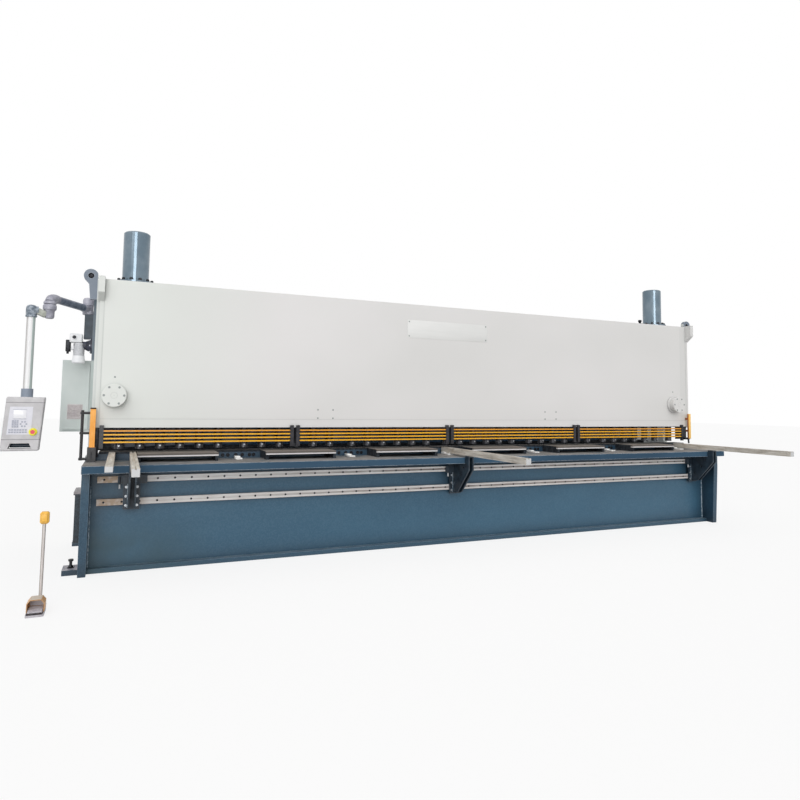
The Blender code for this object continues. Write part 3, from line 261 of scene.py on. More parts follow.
def plain_finish(name, colour, roughness, tones, patch, grain, depth, metallic=0.0, spread=None):
    """A finish of two tones in soft patches over a fine grain."""
    finish = Finish(name, colour, roughness, metallic)
    patches = finish.noise(patch)
    if spread:
        patches = finish.band(patches, *spread)
    finish.colour(finish.mix(patches, *tones))
    finish.bump(finish.noise(grain), depth)
    return finish


def dress(finish, *names):
    """Give a CAD node its finish."""
    for name in names:
        data = nodes[name].data
        data.materials.clear()
        data.materials.append(finish.material)
        for face in data.polygons:
            face.material_index = 0


def made(name, mesh, finish, body):
    """Close a mesh into a piece that rides on a body."""
    bmesh.ops.remove_doubles(mesh, verts=mesh.verts, dist=0.00001)
    bmesh.ops.recalc_face_normals(mesh, faces=mesh.faces)
    data = bpy.data.meshes.new(name)
    mesh.to_mesh(data)
    mesh.free()
    data.shade_smooth()
    data.set_sharp_from_angle(angle=math.radians(35))
    data.materials.append(finish.material)
    thing = placed(name, data)
    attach(thing, body)
    return thing


def rounded(mesh, place, size, edge, steps):
    """A box of some size in its place, with its edges rounded."""
    matrix = place @ Matrix.Diagonal((*size, 1))
    corners = bmesh.ops.create_cube(mesh, size=1, matrix=matrix)["verts"]
    lines = list({line for edge_wear_and_highlight in corners for line in edge_wear_and_highlight.link_edges})
    bmesh.ops.bevel(mesh, geom=lines, offset=edge, segments=steps, profile=0.5, affect="EDGES")


def block(mesh, low, high, edge, steps=2):
    """An upright box between two corners."""
    low, high = Vector(low), Vector(high)
    rounded(mesh, Matrix.Translation((low + high) / 2), high - low, edge, steps)


def bar(mesh, start, end, width, tall, edge):
    """A square bar from point to point."""
    start, end = Vector(start), Vector(end)
    turn = (end - start).to_track_quat("X", "Z").to_matrix().to_4x4()
    rounded(mesh, Matrix.Translation((start + end) / 2) @ turn,
            ((end - start).length, width, tall), edge, 3)


def circle(count, radius, start=0):
    """Points at equal steps round a circle."""
    return [(radius * math.cos(math.tau * (i + start) / count),
             radius * math.sin(math.tau * (i + start) / count)) for i in range(count)]


def turned(mesh, profile, place, axis=(0, 0, 1), sides=32):
    """Spin a profile of (radius, height) pairs round an axis."""
    turn = Vector((0, 0, 1)).rotation_difference(Vector(axis)).to_matrix()
    rings = []
    for radius, height in profile:
        spots = [(u, v, height) for u, v in circle(sides, radius)] if radius else [(0, 0, height)]
        rings.append([mesh.verts.new(Vector(place) + turn @ Vector(spot)) for spot in spots])
    for ring, other in zip(rings, rings[1:]):
        for i in range(sides):
            j = (i + 1) % sides
            corners = [ring[i % len(ring)], ring[j % len(ring)], other[j % len(other)],
                       other[i % len(other)]]
            corners = list(dict.fromkeys(corners))
            if len(corners) > 2:
                mesh.faces.new(corners)


def rod(mesh, radius, start, end, sides, edge):
    """A round bar from point to point, with chamfered ends."""
    along = Vector(end) - Vector(start)
    turned(mesh, [(0, 0), (radius - edge, 0), (radius, edge), (radius, along.length - edge),
                  (radius - edge, along.length), (0, along.length)], start, along, sides)


def slab(mesh, ring, facing, low, high):
    """A flat outline given thickness along X or Y."""
    order = {"X": (2, 0, 1), "Y": (0, 2, 1)}[facing]
    sheets = [[mesh.verts.new([(u, v, level)[k] for k in order]) for u, v in ring]
              for level in (low, high)]
    mesh.faces.new(sheets[0])
    mesh.faces.new(list(reversed(sheets[1])))
    for i in range(len(ring)):
        j = (i + 1) % len(ring)
        mesh.faces.new((sheets[0][i], sheets[1][i], sheets[1][j], sheets[0][j]))


def bent(mesh, path, radii, sides=24):
    """A round bar along a smooth path, its radius changing from point to point."""
    steps = 5
    path = [Vector(point) for point in path]
    ends = [2 * path[0] - path[1], *path, 2 * path[-1] - path[-2]]
    spots, sizes = [], []
    for i in range(1, len(ends) - 2):
        a, b, c, d = ends[i - 1:i + 3]
        for k in range(steps):
            t = k / steps
            spots.append(((2 * b) + (c - a) * t + (2 * a - 5 * b + 4 * c - d) * t * t
                          + (3 * b - a - 3 * c + d) * t ** 3) / 2)
            sizes.append(radii[i - 1] * (1 - t) + radii[i] * t)
    spots.append(path[-1])
    sizes.append(radii[-1])
    ahead = (spots[1] - spots[0]).normalized()
    side = ahead.orthogonal().normalized()
    rings = []
    for i, (spot, size) in enumerate(zip(spots, sizes)):
        onward = (spots[min(i + 1, len(spots) - 1)] - spots[max(i - 1, 0)]).normalized()
        side = (ahead.rotation_difference(onward) @ side).normalized()
        ahead = onward
        other = ahead.cross(side)
        rings.append([mesh.verts.new(spot + (side * u + other * v) * size)
                      for u, v in circle(sides, 1)])
    for ring, after in zip(rings, rings[1:]):
        for k in range(sides):
            j = (k + 1) % sides
            mesh.faces.new((ring[k], ring[j], after[j], after[k]))
    mesh.faces.new(list(reversed(rings[0])))
    mesh.faces.new(rings[-1])


def pattern(name, inputs):
    """Start a node tree that grows parts on the points of its object."""
    tree = bpy.data.node_groups.new(name, "GeometryNodeTree")
    for label, kind in (("Geometry", "Geometry"), *inputs):
        tree.interface.new_socket(label, in_out="INPUT", socket_type="NodeSocket" + kind)
    tree.interface.new_socket("Geometry", in_out="OUTPUT", socket_type="NodeSocketGeometry")
    return tree, add(tree, "NodeGroupInput", {}).outputs


def finish_off(tree, shape, finish):
    """End a pattern's tree with plain geometry in one finish."""
    real = result(tree, "GeometryNodeRealizeInstances", {"Geometry": shape})
    painted = result(tree, "GeometryNodeSetMaterial", {"Geometry": real, "Material": finish})
    tree.links.new(painted, add(tree, "NodeGroupOutput", {}).inputs[0])


def grown(name, tree, points, values, body):
    """Grow a pattern on some points and keep it as one plain mesh on a body."""
    data = bpy.data.meshes.new(name)
    data.from_pydata([tuple(point) for point in points], [], [])
    thing = placed(name, data)
    step = thing.modifiers.new("Pattern", "NODES")
    step.node_group = tree
    for item in tree.interface.items_tree:
        if item.in_out == "INPUT" and item.name in values:
            step[item.identifier] = values[item.name]
    bpy.context.view_layer.update()
    final = thing.evaluated_get(bpy.context.evaluated_depsgraph_get())
    shape = bpy.data.meshes.new_from_object(final)
    thing.modifiers.remove(step)
    thing.data = shape
    shape.name = name
    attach(thing, body)


def stacked(tree, given, count, part, varied):
    """Stack a part in a column on each point and end the tree."""
    step = result(tree, "ShaderNodeCombineXYZ", {"Z": given["Pitch"]})
    line = result(tree, "GeometryNodeMeshLine", {"Count": count, "Offset": step})
    column = result(tree, "GeometryNodeInstanceOnPoints",
                    {"Points": line, "Instance": part, **varied})
    rows = result(tree, "GeometryNodeInstanceOnPoints",
                  {"Points": given["Geometry"], "Instance": column})
    finish_off(tree, rows, given["Finish"])
    return tree


def bead_tree():
    """Weld bead: flattened drops, each a little different."""
    tree, given = pattern("weld_bead", (("Radius", "Float"), ("Pitch", "Float"),
                                        ("Height", "Float"), ("Finish", "Material")))
    count = result(tree, "ShaderNodeMath", {0: given["Height"], 1: given["Pitch"]},
                   operation="DIVIDE")
    drop = result(tree, "GeometryNodeMeshUVSphere", {"Segments": 8, "Rings": 5,
                                                     "Radius": given["Radius"]})
    smooth = result(tree, "GeometryNodeSetShadeSmooth", {"Geometry": drop})
    size = result(tree, "FunctionNodeRandomValue",
                  {"Min": (0.75, 0.75, 0.5), "Max": (1.1, 1.1, 0.8), "Seed": 4},
                  data_type="FLOAT_VECTOR")
    return stacked(tree, given, count, smooth, {"Scale": size})


def bolt_tree():
    """Chamfered head on a round washer, turned at random about its own axis."""
    tree, given = pattern("bolt_heads", (("Radius", "Float"), ("Height", "Float"),
                                         ("Sides", "Int"), ("Washer", "Float"),
                                         ("Facing", "Rotation"), ("Finish", "Material")))
    tall, cut, slim, thin = (
        result(tree, "ShaderNodeMath", {0: given[length], 1: part}, operation="MULTIPLY")
        for length, part in (("Height", 0.7), ("Height", 0.3), ("Radius", 0.8), ("Height", 0.2)))
    join = add(tree, "GeometryNodeJoinGeometry", {})
    sides, wide, washer = given["Sides"], given["Radius"], given["Washer"]
    for corners, low, high, depth, lift in ((sides, wide, wide, tall, None),
                                            (sides, wide, slim, cut, tall),
                                            (16, washer, washer, thin, None)):
        cone = result(tree, "GeometryNodeMeshCone", {"Vertices": corners, "Radius Bottom": low,
                                                     "Radius Top": high, "Depth": depth})
        if lift:
            up = result(tree, "ShaderNodeCombineXYZ", {"Z": lift})
            cone = result(tree, "GeometryNodeTransform", {"Geometry": cone, "Translation": up})
        tree.links.new(cone, join.inputs[0])
    spots = result(tree, "GeometryNodeInstanceOnPoints",
                   {"Points": given["Geometry"], "Instance": join.outputs[0],
                    "Rotation": given["Facing"]})
    turn = add(tree, "FunctionNodeRandomValue", {2: 0.0, 3: 1.05, "Seed": 7},
               data_type="FLOAT").outputs[1]
    about = result(tree, "ShaderNodeCombineXYZ", {"Z": turn})
    spun = result(tree, "GeometryNodeRotateInstances", {"Instances": spots, "Rotation": about})
    finish_off(tree, spun, given["Finish"])
    return tree


bolt_heads = bolt_tree()


def bolts(name, points, facing, radius, height, finish, body, sides=6, washer=1.5):
    """Bolt heads on a flat face, all looking one way."""
    turn = Vector((0, 0, 1)).rotation_difference(Vector(facing)).to_euler()
    grown(name, bolt_heads, points,
          {"Radius": radius, "Height": height, "Sides": sides, "Washer": radius * washer,
           "Facing": list(turn), "Finish": finish.material}, body)


def blue_paint(name, light, dark, streak=(1, 1, 1), patch=0.55):
    """Satin machine paint over cast filler: cloudy, with a fine orange-peel skin, painted shade
    in its corners and paler edges, partly worn and partly a painted highlight.
    """
    paint = Finish(name, light, 0.42)
    body = paint.mix(paint.band(paint.noise(patch, streak, 4), 0.36, 0.66), dark, light)
    skin = paint.noise(0.014, detail=2)
    body = paint.mix(paint.both(paint.band(skin, 0.42, 0.62), 0.15), body, "5F8196")
    # Painted shade: the paint darkens towards near black in corners and under ledges.
    body = paint.mix(paint.both(paint.shade_nooks(0.25), 0.6), body, "121A24")
    dust = paint.both(paint.facing(), paint.band(paint.noise(0.12), 0.3, 0.7, 0.3, 0.7))
    body = paint.mix(dust, body, "8496A2")
    # Paler edges: partly worn paint, partly a painted highlight.
    wear_and_highlight = paint.both(paint.edges(0.006), paint.band(paint.noise(0.05), 0.35, 0.6, 0.15, 0.6))
    body = paint.mix(wear_and_highlight, body, "9FB0BC")
    paint.colour(body)
    paint.rough(paint.noise(0.08), 0.34, 0.5)
    paint.bump(skin, 0.0008)
    return paint, body


plate, plate_tone = blue_paint("side_plate_paint", "284A5F", "223F53")
height = plate.along("Z")
outward = plate.calc("ABSOLUTE", plate.along("X"))
pale = plate.clouds(0.8, "D6DAD6", "DFE2DE", 0.4, 0.6)
# Painted shade in the pale paint's corners.
pale = plate.mix(plate.both(plate.shade_nooks(0.10), 0.35), pale, "8C9496")
coat = plate.mix(plate.band(height, *BLUE_TOP), plate_tone, pale)
# The outer plate's front strip above the table: up to 2.08 m a darker pale grey that is painted
# shade, above it a slate that is partly the plate's dark paint and partly painted shade.
shoulder_zone = plate.zone((outward, *PLATE_FACE), (height, 1.36, 1.37),
                           (plate.facing("Y", -0.7, -0.95), 0.0, 1.0))
shaded_shoulder = plate.mix(plate.band(height, 2.07, 2.09), "AEB8B6", "56646F")
coat = plate.mix(shoulder_zone, coat, shaded_shoulder)
# The lug is slate, with a pale rim painted along its edges as a highlight.
lug_zone = plate.zone((outward, *PLATE_FACE), (height, 2.69, 2.695),
                      (plate.along("Y"), 0.05, 0.04))
coat = plate.mix(lug_zone, coat, plate.mix(plate.edges(0.008), "727D8B", "B4BCC5"))
rubbed = plate.zone((outward, *FOOT_FACE), (height, 0.052, 0.051), (plate.facing(), 0.0, 1.0),
                    (plate.noise(0.06), 0.35, 0.5))
coat = plate.mix(rubbed, coat, "A29DA6")
foot_zone = plate.zone((outward, *FOOT_FACE), (height, 0.052, 0.053), (height, 0.19, 0.18))
plate.colour(plate.mix(foot_zone, coat, "15171B"))
dress(plate, "side_plate_left", "side_plate_right")

bead_metal = plain_finish("weld_bead_paint", "8FA2AE", 0.5, ("5D7688", "B4C2CB"), 0.02, 0.004,
                          0.0006, spread=(0.4, 0.6))
weld_beads = bead_tree()
grown("corner_weld_beads", weld_beads, [(x, -0.4715, 0.05) for x in (-BED_END_X, BED_END_X)],
      {"Radius": 0.010, "Pitch": 0.007, "Height": 0.78, "Finish": bead_metal.material},
      "frame")

black_steel = plain_finish("blackened_steel", "17181C", 0.4, ("101115", "2C2E34"), 0.03, 0.003,
                           0.0002, 0.6, (0.4, 0.65))
bright_zinc = plain_finish("bright_zinc", "B9BEC2", 0.28, ("9CA2A8", "D5D8DA"), 0.02, 0.002,
                           0.0001, 0.9)
bolts("levelling_nuts", [(side * FOOT_X, y, FOOT_TOP) for side in (-1, 1) for y in FOOT_YS],
      (0, 0, 1), 0.024, 0.022, black_steel, "frame", washer=1.4)
mesh = bmesh.new()
for side in (-1, 1):
    turned(mesh, [(0, 0.008), (0.015, 0.008), (0.018, 0.003), (0.024, 0), (0.0285, 0.004),
                  (0.0285, 0.042), (0.024, 0.046), (0.018, 0.043), (0.015, 0.038), (0, 0.038)],
           (side * 4.195, -0.173, 2.945), (0, 1, 0))
made("lug_bushes", mesh, black_steel, "frame")


# Bed
# The welded box that carries the table, its long front skin filled and painted blue.
# A dull, rubbed place is left in the paint low down near the left foot.
bed, bed_tone = blue_paint("bed_blue", "386078", "2F566E", (0.35, 1, 1), 0.7)
low_left = bed.both(bed.band(bed.along("X"), -2.9, -3.8), bed.band(bed.along("Z"), 0.52, 0.24))
dull = bed.both(low_left, bed.band(bed.noise(0.5), 0.3, 0.6, 0.3, 1.0))
bed.colour(bed.mix(dull, bed_tone, "2C4853"))
dress(bed, "bed_frame")
lower_blue = blue_paint("lower_blue", "395C75", "2E506A")[0]
dress(lower_blue, "holddown_beam", "knife_beam", "back_gauge", "pump_motor")


# Table
# A planed plate along the whole front. Its top is worn to brownish grey by the sheets, while
# its front edge keeps the blue paint, with a paler line of worn paint and painted highlight along
# its edges.
table = Finish("worn_table", "7F7E7D", 0.6)
table.shader.inputs["Specular IOR Level"].default_value = 0.2
front_blue = table.clouds(0.6, "2C465C", "3C586E", 0.35, 0.65, (0.3, 1, 1))
rub = table.noise(0.03, (0.12, 1.6, 1), 4)
top = table.mix(table.band(rub, 0.35, 0.68), "6B6B6E", "A7A39E")
top = table.mix(table.band(table.noise(0.3), 0.5, 0.7), top, "55626B")
# Paler edges: partly worn paint, partly a painted highlight.
edge_wear_and_highlight = table.both(table.edges(0.012), table.band(table.noise(0.09), 0.35, 0.55, 0.3, 0.95))
table.colour(table.mix(edge_wear_and_highlight, table.mix(table.facing(), front_blue, top), "B5BEC4"))
table.rough(rub, 0.5, 0.7)
table.bump(rub, 0.0004)
dress(table, "table_plate")


# Lower knife beam and sheet deck
# The beam behind the table is blue with rows of dark screw heads. On it lie a ground strip and
# six raised plates on dark cheeks, each with a bright lip where the sheets slide over.
TABLE_TOP = 1.0453
DECK_PITCH = 1.28
dress(lower_blue, "lower_knife_beam")
deck = Finish("deck_steel", "8D8883", 0.8)
deck.shader.inputs["Specular IOR Level"].default_value = 0.1
scrape = deck.noise(0.02, (0.1, 1.4, 1), 4)
deck_top = deck.mix(deck.band(scrape, 0.35, 0.68), "6E6964", "96908A")
cheek = deck.clouds(0.04, "26292F", "3C4147")
front = deck.band(deck.along("Y"), -0.50, -0.51)
rolled = deck.both(front, deck.band(deck.along("Z"), 1.110, 1.113))
cheek = deck.mix(rolled, cheek, "6A6460")
lip = deck.both(deck.band(deck.along("Z"), 1.097, 1.099),
                deck.band(deck.along("Z"), 1.113, 1.110))
cheek = deck.mix(deck.both(lip, front), cheek, "E6E4E4")
deck.colour(deck.mix(deck.facing(), cheek, deck_top))
deck.rough(scrape, 0.7, 0.85)
deck.bump(scrape, 0.0003)
dress(deck, "sheet_deck")
gap_middles = [-2.6575 + DECK_PITCH * gap for gap in range(5)]
bolts("beam_screws", [(middle + step, -0.2, 1.078) for middle in gap_middles
                      for step in (-0.16, -0.105, -0.02, 0.05, 0.13, 0.175)],
      (0, -1, 0), 0.017, 0.012, black_steel, "frame", sides=16, washer=1.15)
blade_steel = Finish("tool_steel", "5C6269", 0.45, 0.5)
brushed = blade_steel.noise(0.01, (0.05, 1, 1), 3)
blade_steel.colour(blade_steel.mix(brushed, "363B43", "6C7178"))
blade_steel.rough(brushed, 0.4, 0.55)
blade_steel.bump(brushed, 0.0001)
dress(blade_steel, "lower_blade", "upper_blade", "knife_guide_left", "knife_guide_right")
nylon = plain_finish("white_nylon", "EFEFED", 0.5, ("E4E4E2", "F7F7F6"), 0.03, 0.004, 0.0002)
mesh = bmesh.new()
for middle in (-2.672, -1.390, -0.110, 1.180, 2.465, 3.760):
    block(mesh, (middle - 0.030, -0.33, TABLE_TOP), (middle + 0.025, -0.230, 1.072), 0.003)
    block(mesh, (middle - 0.040, -0.44, TABLE_TOP), (middle + 0.030, -0.3305, 1.060), 0.003)
made("deck_pads", mesh, nylon, "frame")


# Guide rails
# Two ground steel bars screwed along the bed, with old oil along their middles. They are brown
# with grease near the left end.
RAIL_HEIGHTS = (0.8835, 0.6645)
RAIL_FACE = -0.51
rail = Finish("rail_steel", "F0ECE8", 0.4)
drag = rail.noise(0.012, (0.06, 1, 1.5), 4)
silver = rail.mix(rail.band(drag, 0.3, 0.65), "DED6D1", "FBFAF8")
for middle in RAIL_HEIGHTS:
    oily = rail.both(rail.band(rail.off(rail.along("Z"), middle), 0.013, 0.007),
                     rail.band(rail.along("X"), -3.0, -0.8, 0.15, 0.85))
    smear = rail.band(rail.noise(0.06, (0.3, 1, 1)), 0.3, 0.55, 0.6, 1.0)
    silver = rail.mix(rail.both(oily, smear), silver, "65544D")
grease = rail.both(rail.band(rail.along("X"), -3.55, -3.75),
                   rail.band(rail.noise(0.05), 0.35, 0.55, 0.5, 1.0))
silver = rail.mix(grease, silver, "B89E83")
# Painted shade: the lower rail is painted a quarter of the way to dull grey, so the upper rail
# looks the more brightly lit.
silver = rail.mix(rail.band(rail.along("Z"), 0.79, 0.78, 0.0, 0.25), silver, "8F8782")
rail.colour(silver)
rail.rough(drag, 0.28, 0.45)
rail.bump(drag, 0.0002)
dress(rail, "guide_rail_upper", "guide_rail_lower")
hole_xs = [-3.489 + 0.1632 * i for i in range(-3, 46)]
bolts("rail_screws", [(x, RAIL_FACE, z) for x in hole_xs for z in RAIL_HEIGHTS], (0, -1, 0),
      0.0085, 0.0016, black_steel, "frame", sides=14, washer=1.25)


# Squaring arm and sheet support arms
# Drawn square bars, zinc coated and rubbed by sheets: warm grey, scratched along their length,
# with bright sawn ends.
zinc = Finish("arm_zinc", "B6ADA0", 0.5, 0.1)
streaks = zinc.noise(0.02, (1.3, 0.08, 1.3), 4)
coat = zinc.mix(zinc.band(streaks, 0.33, 0.66), "B6ADA0", "E7E2D9")
coat = zinc.mix(zinc.both(zinc.band(zinc.noise(0.09), 0.55, 0.72), 0.5), coat, "9C958A")
zinc.colour(zinc.mix(zinc.facing("Y", -0.7, -0.95), coat, "C9CACB"))
zinc.rough(streaks, 0.35, 0.52)
zinc.bump(streaks, 0.0003)
dress(zinc, "squaring_arm", "support_arm_1", "support_arm_2", "support_arm_3")


# Arm brackets
# Two flame-cut cheeks welded to a saddle plate, black and dark blue, with a plated clamp lever
# on the upper rail and two columns of plated bolts.
ARM_XS = (-3.728, -0.097, 3.863)
LEVER_STEP = 0.112
bracket = Finish("bracket_paint", "22303A", 0.4)
coat = bracket.clouds(0.07, "16202A", "2B3B48", 0.35, 0.65)
# Paler edges on the cheeks: a painted highlight.
coat = bracket.mix(bracket.both(bracket.edges(0.004), 0.5), coat, "7F8E99")
for x in ARM_XS:
    beside = bracket.off(bracket.along("X"), x - LEVER_STEP)
    plated = bracket.both(bracket.band(beside, 0.0110, 0.0105),
                          bracket.band(bracket.along("Z"), 0.839, 0.838))
    coat = bracket.mix(plated, coat, "DDE0E2")
bracket.colour(coat)
bracket.rough(bracket.noise(0.04), 0.32, 0.5)
bracket.bump(bracket.noise(0.006), 0.0004)
dress(bracket, "arm_bracket_1", "arm_bracket_2", "arm_bracket_3")
for number, x in enumerate(ARM_XS, 1):
    body = "arm_carriage_%d" % number
    bolts("bracket_bolts_%d" % number, [(x + side * 0.0505, -0.5303, z) for side in (-1, 1)
                                        for z in (0.630, 0.719, 0.808, 0.883)],
          (0, -1, 0), 0.0095, 0.010, bright_zinc, body, washer=1.35)
    grown("bracket_welds_%d" % number, weld_beads,
          [(x + side * 0.0365, -0.5308, 0.61) for side in (-1, 1)],
          {"Radius": 0.0055, "Pitch": 0.006, "Height": 0.32, "Finish": bead_metal.material},
          body)


# Front panel
# The large plate that closes the front, sprayed pale grey over a shallow groove near each end
# and along the foot. It carries two bolted roller caps, a bare plate and two groups of screws.
PANEL_FACE = -0.2603
CAP_HEIGHT, CAP_DEPTH = 1.709, 0.125
grey = Finish("pale_grey_paint", "DDE0DC", 0.38)
haze = grey.band(grey.noise(1.6, (0.6, 1, 1), 2), 0.35, 0.65)
coat = grey.mix(haze, "DDDCDA", "E5E3E2")
coat = grey.mix(grey.band(grey.along("X"), -3.6, -2.2, 0.55, 0.0), coat, "DCE2DB")
# Painted shade: a narrow darker band on the front near each end, beside the proud side plates.
for edge_x, fade_x in ((3.935, 3.945), (-4.045, -4.055)):
    band = grey.both(grey.band(grey.along("X"), edge_x, fade_x, 0.0, 0.12),
                     grey.band(grey.along("Y"), -0.19, -0.20))
    coat = grey.mix(band, coat, "AEB4B2")
# Painted shade in corners and round the parts set on the panel.
grey.colour(grey.mix(grey.both(grey.shade_nooks(0.06), 0.3), coat, "858B8C"))
grey.rough(grey.noise(0.3), 0.34, 0.44)
grey.bump(grey.noise(0.02, detail=2), 0.0003)
dress(grey, "front_panel", "upper_frame", "oil_tank")

screw_grey = plain_finish("screw_grey", "8E9492", 0.45, ("7E8583", "A2A8A6"), 0.01, 0.003,
                          0.0002, 0.2)
for word, x in (("left", -3.927), ("right", 3.785)):
    mesh = bmesh.new()
    turned(mesh, [(0, 0), (0.118, 0), (0.1205, 0.0025), (0.1205, 0.0260), (0.118, 0.0285),
                  (0.103, 0.0285), (0.103, 0.093), (0.1135, 0.093), (0.116, 0.0955),
                  (0.116, 0.1225), (0.1135, CAP_DEPTH), (0.0335, CAP_DEPTH), (0.0325, 0.1225),
                  (0.0300, 0.1225), (0.0290, CAP_DEPTH), (0.0055, CAP_DEPTH), (0.0045, 0.1225),
                  (0, 0.1225)], (x, PANEL_FACE, CAP_HEIGHT), (0, -1, 0), 64)
    cap = made("roller_cap_" + word, mesh, grey, "frame")
    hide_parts("roller_cover_" + word)
    bolts("roller_cap_bolts_" + word,
          [(x + u, PANEL_FACE - CAP_DEPTH, CAP_HEIGHT + v) for u, v in circle(6, 0.094)],
          (0, -1, 0), 0.0075, 0.007, screw_grey, "frame")

bare = Finish("blank_plate", "E6E6E4", 0.3)
bare.colour(bare.mix(bare.noise(0.05, (0.1, 1, 1)), "DFDFDD", "ECECEA"))
bare.bump(bare.noise(0.004, (0.1, 1, 1)), 0.0001)
mesh = bmesh.new()
block(mesh, (-0.637, -0.2620, 2.488), (0.511, PANEL_FACE, 2.712), 0.0006)
made("blank_plate", mesh, bare, "frame")
screws = [(x, PANEL_FACE, 1.899) for x in (-3.928, 3.785)]
screws += [(x, -0.2620, z) for x in (-0.615, 0.489) for z in (2.510, 2.690)]
screws += [(x, PANEL_FACE, z) for x in (-1.766, -1.584, 1.433, 1.616) for z in (1.485, 1.582)]
bolts("panel_screws", screws, (0, -1, 0), 0.0075, 0.005, screw_grey, "frame",
      washer=1.2)


# Holddown rams
# Spring-loaded steel rams, blackened, stand in a row before the blades; their lighter tips are
# partly rubbed steel and partly a painted highlight. Each is held by a plated pin.
RAM_PITCH = 0.20
ram_steel = Finish("ram_steel", "17181D", 0.3, 0.5)
coat = ram_steel.clouds(0.03, "101118", "24262D", 0.4, 0.6)
# Lighter feet: partly rubbed steel, partly a painted highlight.
tip_wear_and_highlight = ram_steel.band(ram_steel.along("Z"), 1.205, 1.195)
ram_steel.colour(ram_steel.mix(tip_wear_and_highlight, coat, "4A4B50"))
ram_steel.bump(ram_steel.noise(0.01), 0.0002)
dress(ram_steel, "holddown_rams")
ram_xs = [-3.864 + DECK_PITCH * group + RAM_PITCH * i for group in range(6) for i in range(6)]
bolts("ram_pins", [(x, -0.1765, 1.190) for x in ram_xs + [3.816]], (0, -1, 0), 0.009, 0.009,
      bright_zinc, "frame", sides=12, washer=1.1)


# Back gauge shade strip
# A thin black strip along the foot of the back gauge, a dark sheet put in as painted shade that
# closes the view under the blades. It moves with the knife beam.
mesh = bmesh.new()
block(mesh, (-4.06, 0.612, 1.058), (4.06, 0.6197, 1.135), 0.002)
made("gauge_shade_strip", mesh, black_steel, "knife")


# Finger guards
# Four bays of flat yellow rails between black posts keep fingers out. Their lower and upper
# lips are black paint that also paints the shade on the rails' edges, and black angles and a
# bent hook hold the row's two ends.
BAR_HEIGHTS = (1.347, 1.309, 1.270, 1.232)
GUARD_START, GUARD_BAY = -4.03, 1.9925
END_POST_HALF, POST_HALF = 0.0205, 0.0555
mesh = bmesh.new()
block(mesh, (-BED_END_X, -0.288, 1.085), (-4.0530, -0.262, 1.372), 0.003)
block(mesh, (3.9630, -0.288, 1.185), (BED_END_X, -0.262, 1.215), 0.003)
block(mesh, (-BED_END_X, -0.2150, 1.150), (-3.9400, -0.2050, 1.415), 0.002)
block(mesh, (3.8750, -0.2150, 1.190), (BED_END_X, -0.2050, 1.415), 0.002)
bent(mesh, [(3.955, -0.310, 1.205), (4.000, -0.312, 1.204), (4.030, -0.314, 1.185),
            (4.036, -0.315, 1.130)], [0.012] * 4, 16)
made("guard_end_brackets", mesh, black_steel, "frame")

guard = Finish("guard_paint", "F5B61A", 0.32)
mid_z = guard.along("Z")
yellow = guard.mix(guard.band(mid_z, 1.325, 1.335), "FAB90F", "F2A52B")
yellow = guard.mix(guard.band(guard.noise(0.15), 0.4, 0.7, 0.0, 0.25), yellow, "E8950C")
guard_black = guard.clouds(0.04, "141319", "2A2930", 0.4, 0.6)
bays = guard.calc("DIVIDE", guard.calc("SUBTRACT", guard.along("X"), GUARD_START), GUARD_BAY)
lap = guard.calc("FRACT", guard.calc("ADD", bays, 0.5))
from_post = guard.off(guard.both(lap, GUARD_BAY), GUARD_BAY / 2)
stripe = 0.0
for middle in BAR_HEIGHTS:
    inside = guard.band(guard.off(mid_z, middle + 0.001), 0.0080, 0.0066)
    stripe = guard.calc("MAXIMUM", stripe, inside)
# The black above and below each yellow stripe is black paint that also paints the bars' shaded
# edges.
yellow = guard.mix(stripe, guard_black, yellow)
from_middle = guard.calc("ABSOLUTE", guard.calc("ADD", guard.along("X"), 0.045))
half = guard.band(guard.band(from_middle, 3.7, 3.71), 0.0, 1.0, POST_HALF, END_POST_HALF)
on_post = guard.band(guard.calc("SUBTRACT", from_post, half), 0.0005, 0.0)
guard.colour(guard.mix(on_post, yellow, guard_black))
guard.bump(guard.noise(0.01), 0.0002)
dress(guard, "guard_1", "guard_2", "guard_3", "guard_4")


# Cylinders
# Two thick-walled barrels, turned and sprayed slate blue, flanged to the frame's top with a ring
# of bolts. The rods are chromed, and a bleed plug stands beside the right one.
CYLINDER_X, CYLINDER_Y = 3.77, 0.112
barrel = Finish("barrel_paint", "7C93A4", 0.16, 0.5)
barrel.colour(barrel.clouds(0.25, "6A7C89", "808F9A"))
barrel.rough(barrel.noise(0.05), 0.12, 0.2)
barrel.bump(barrel.noise(0.03), 0.0002)
dress(barrel, "cylinder_left", "cylinder_right")
rod_chrome = plain_finish("rod_chrome", "C9CCCE", 0.12, ("BFC3C6", "D7D9DB"), 0.05, 0.002,
                          0.00005, 1.0)
dress(rod_chrome, "piston_rod_left", "piston_rod_right")
for side, word in ((-1, "left"), (1, "right")):
    bolts("cylinder_bolts_" + word, [(side * CYLINDER_X + u, CYLINDER_Y + v, 2.955)
                                     for u, v in circle(12, 0.172, 0.5)],
          (0, 0, 1), 0.018, 0.030, black_steel, "frame", washer=1.3)
mesh = bmesh.new()
turned(mesh, [(0, 0), (0.026, 0), (0.026, 0.012), (0.018, 0.016), (0.018, 0.060), (0.024, 0.064),
              (0.026, 0.070), (0.026, 0.088), (0.021, 0.094), (0, 0.095)],
       (3.35, -0.06, 2.9003), sides=20)
made("bleed_plug", mesh, black_steel, "frame")


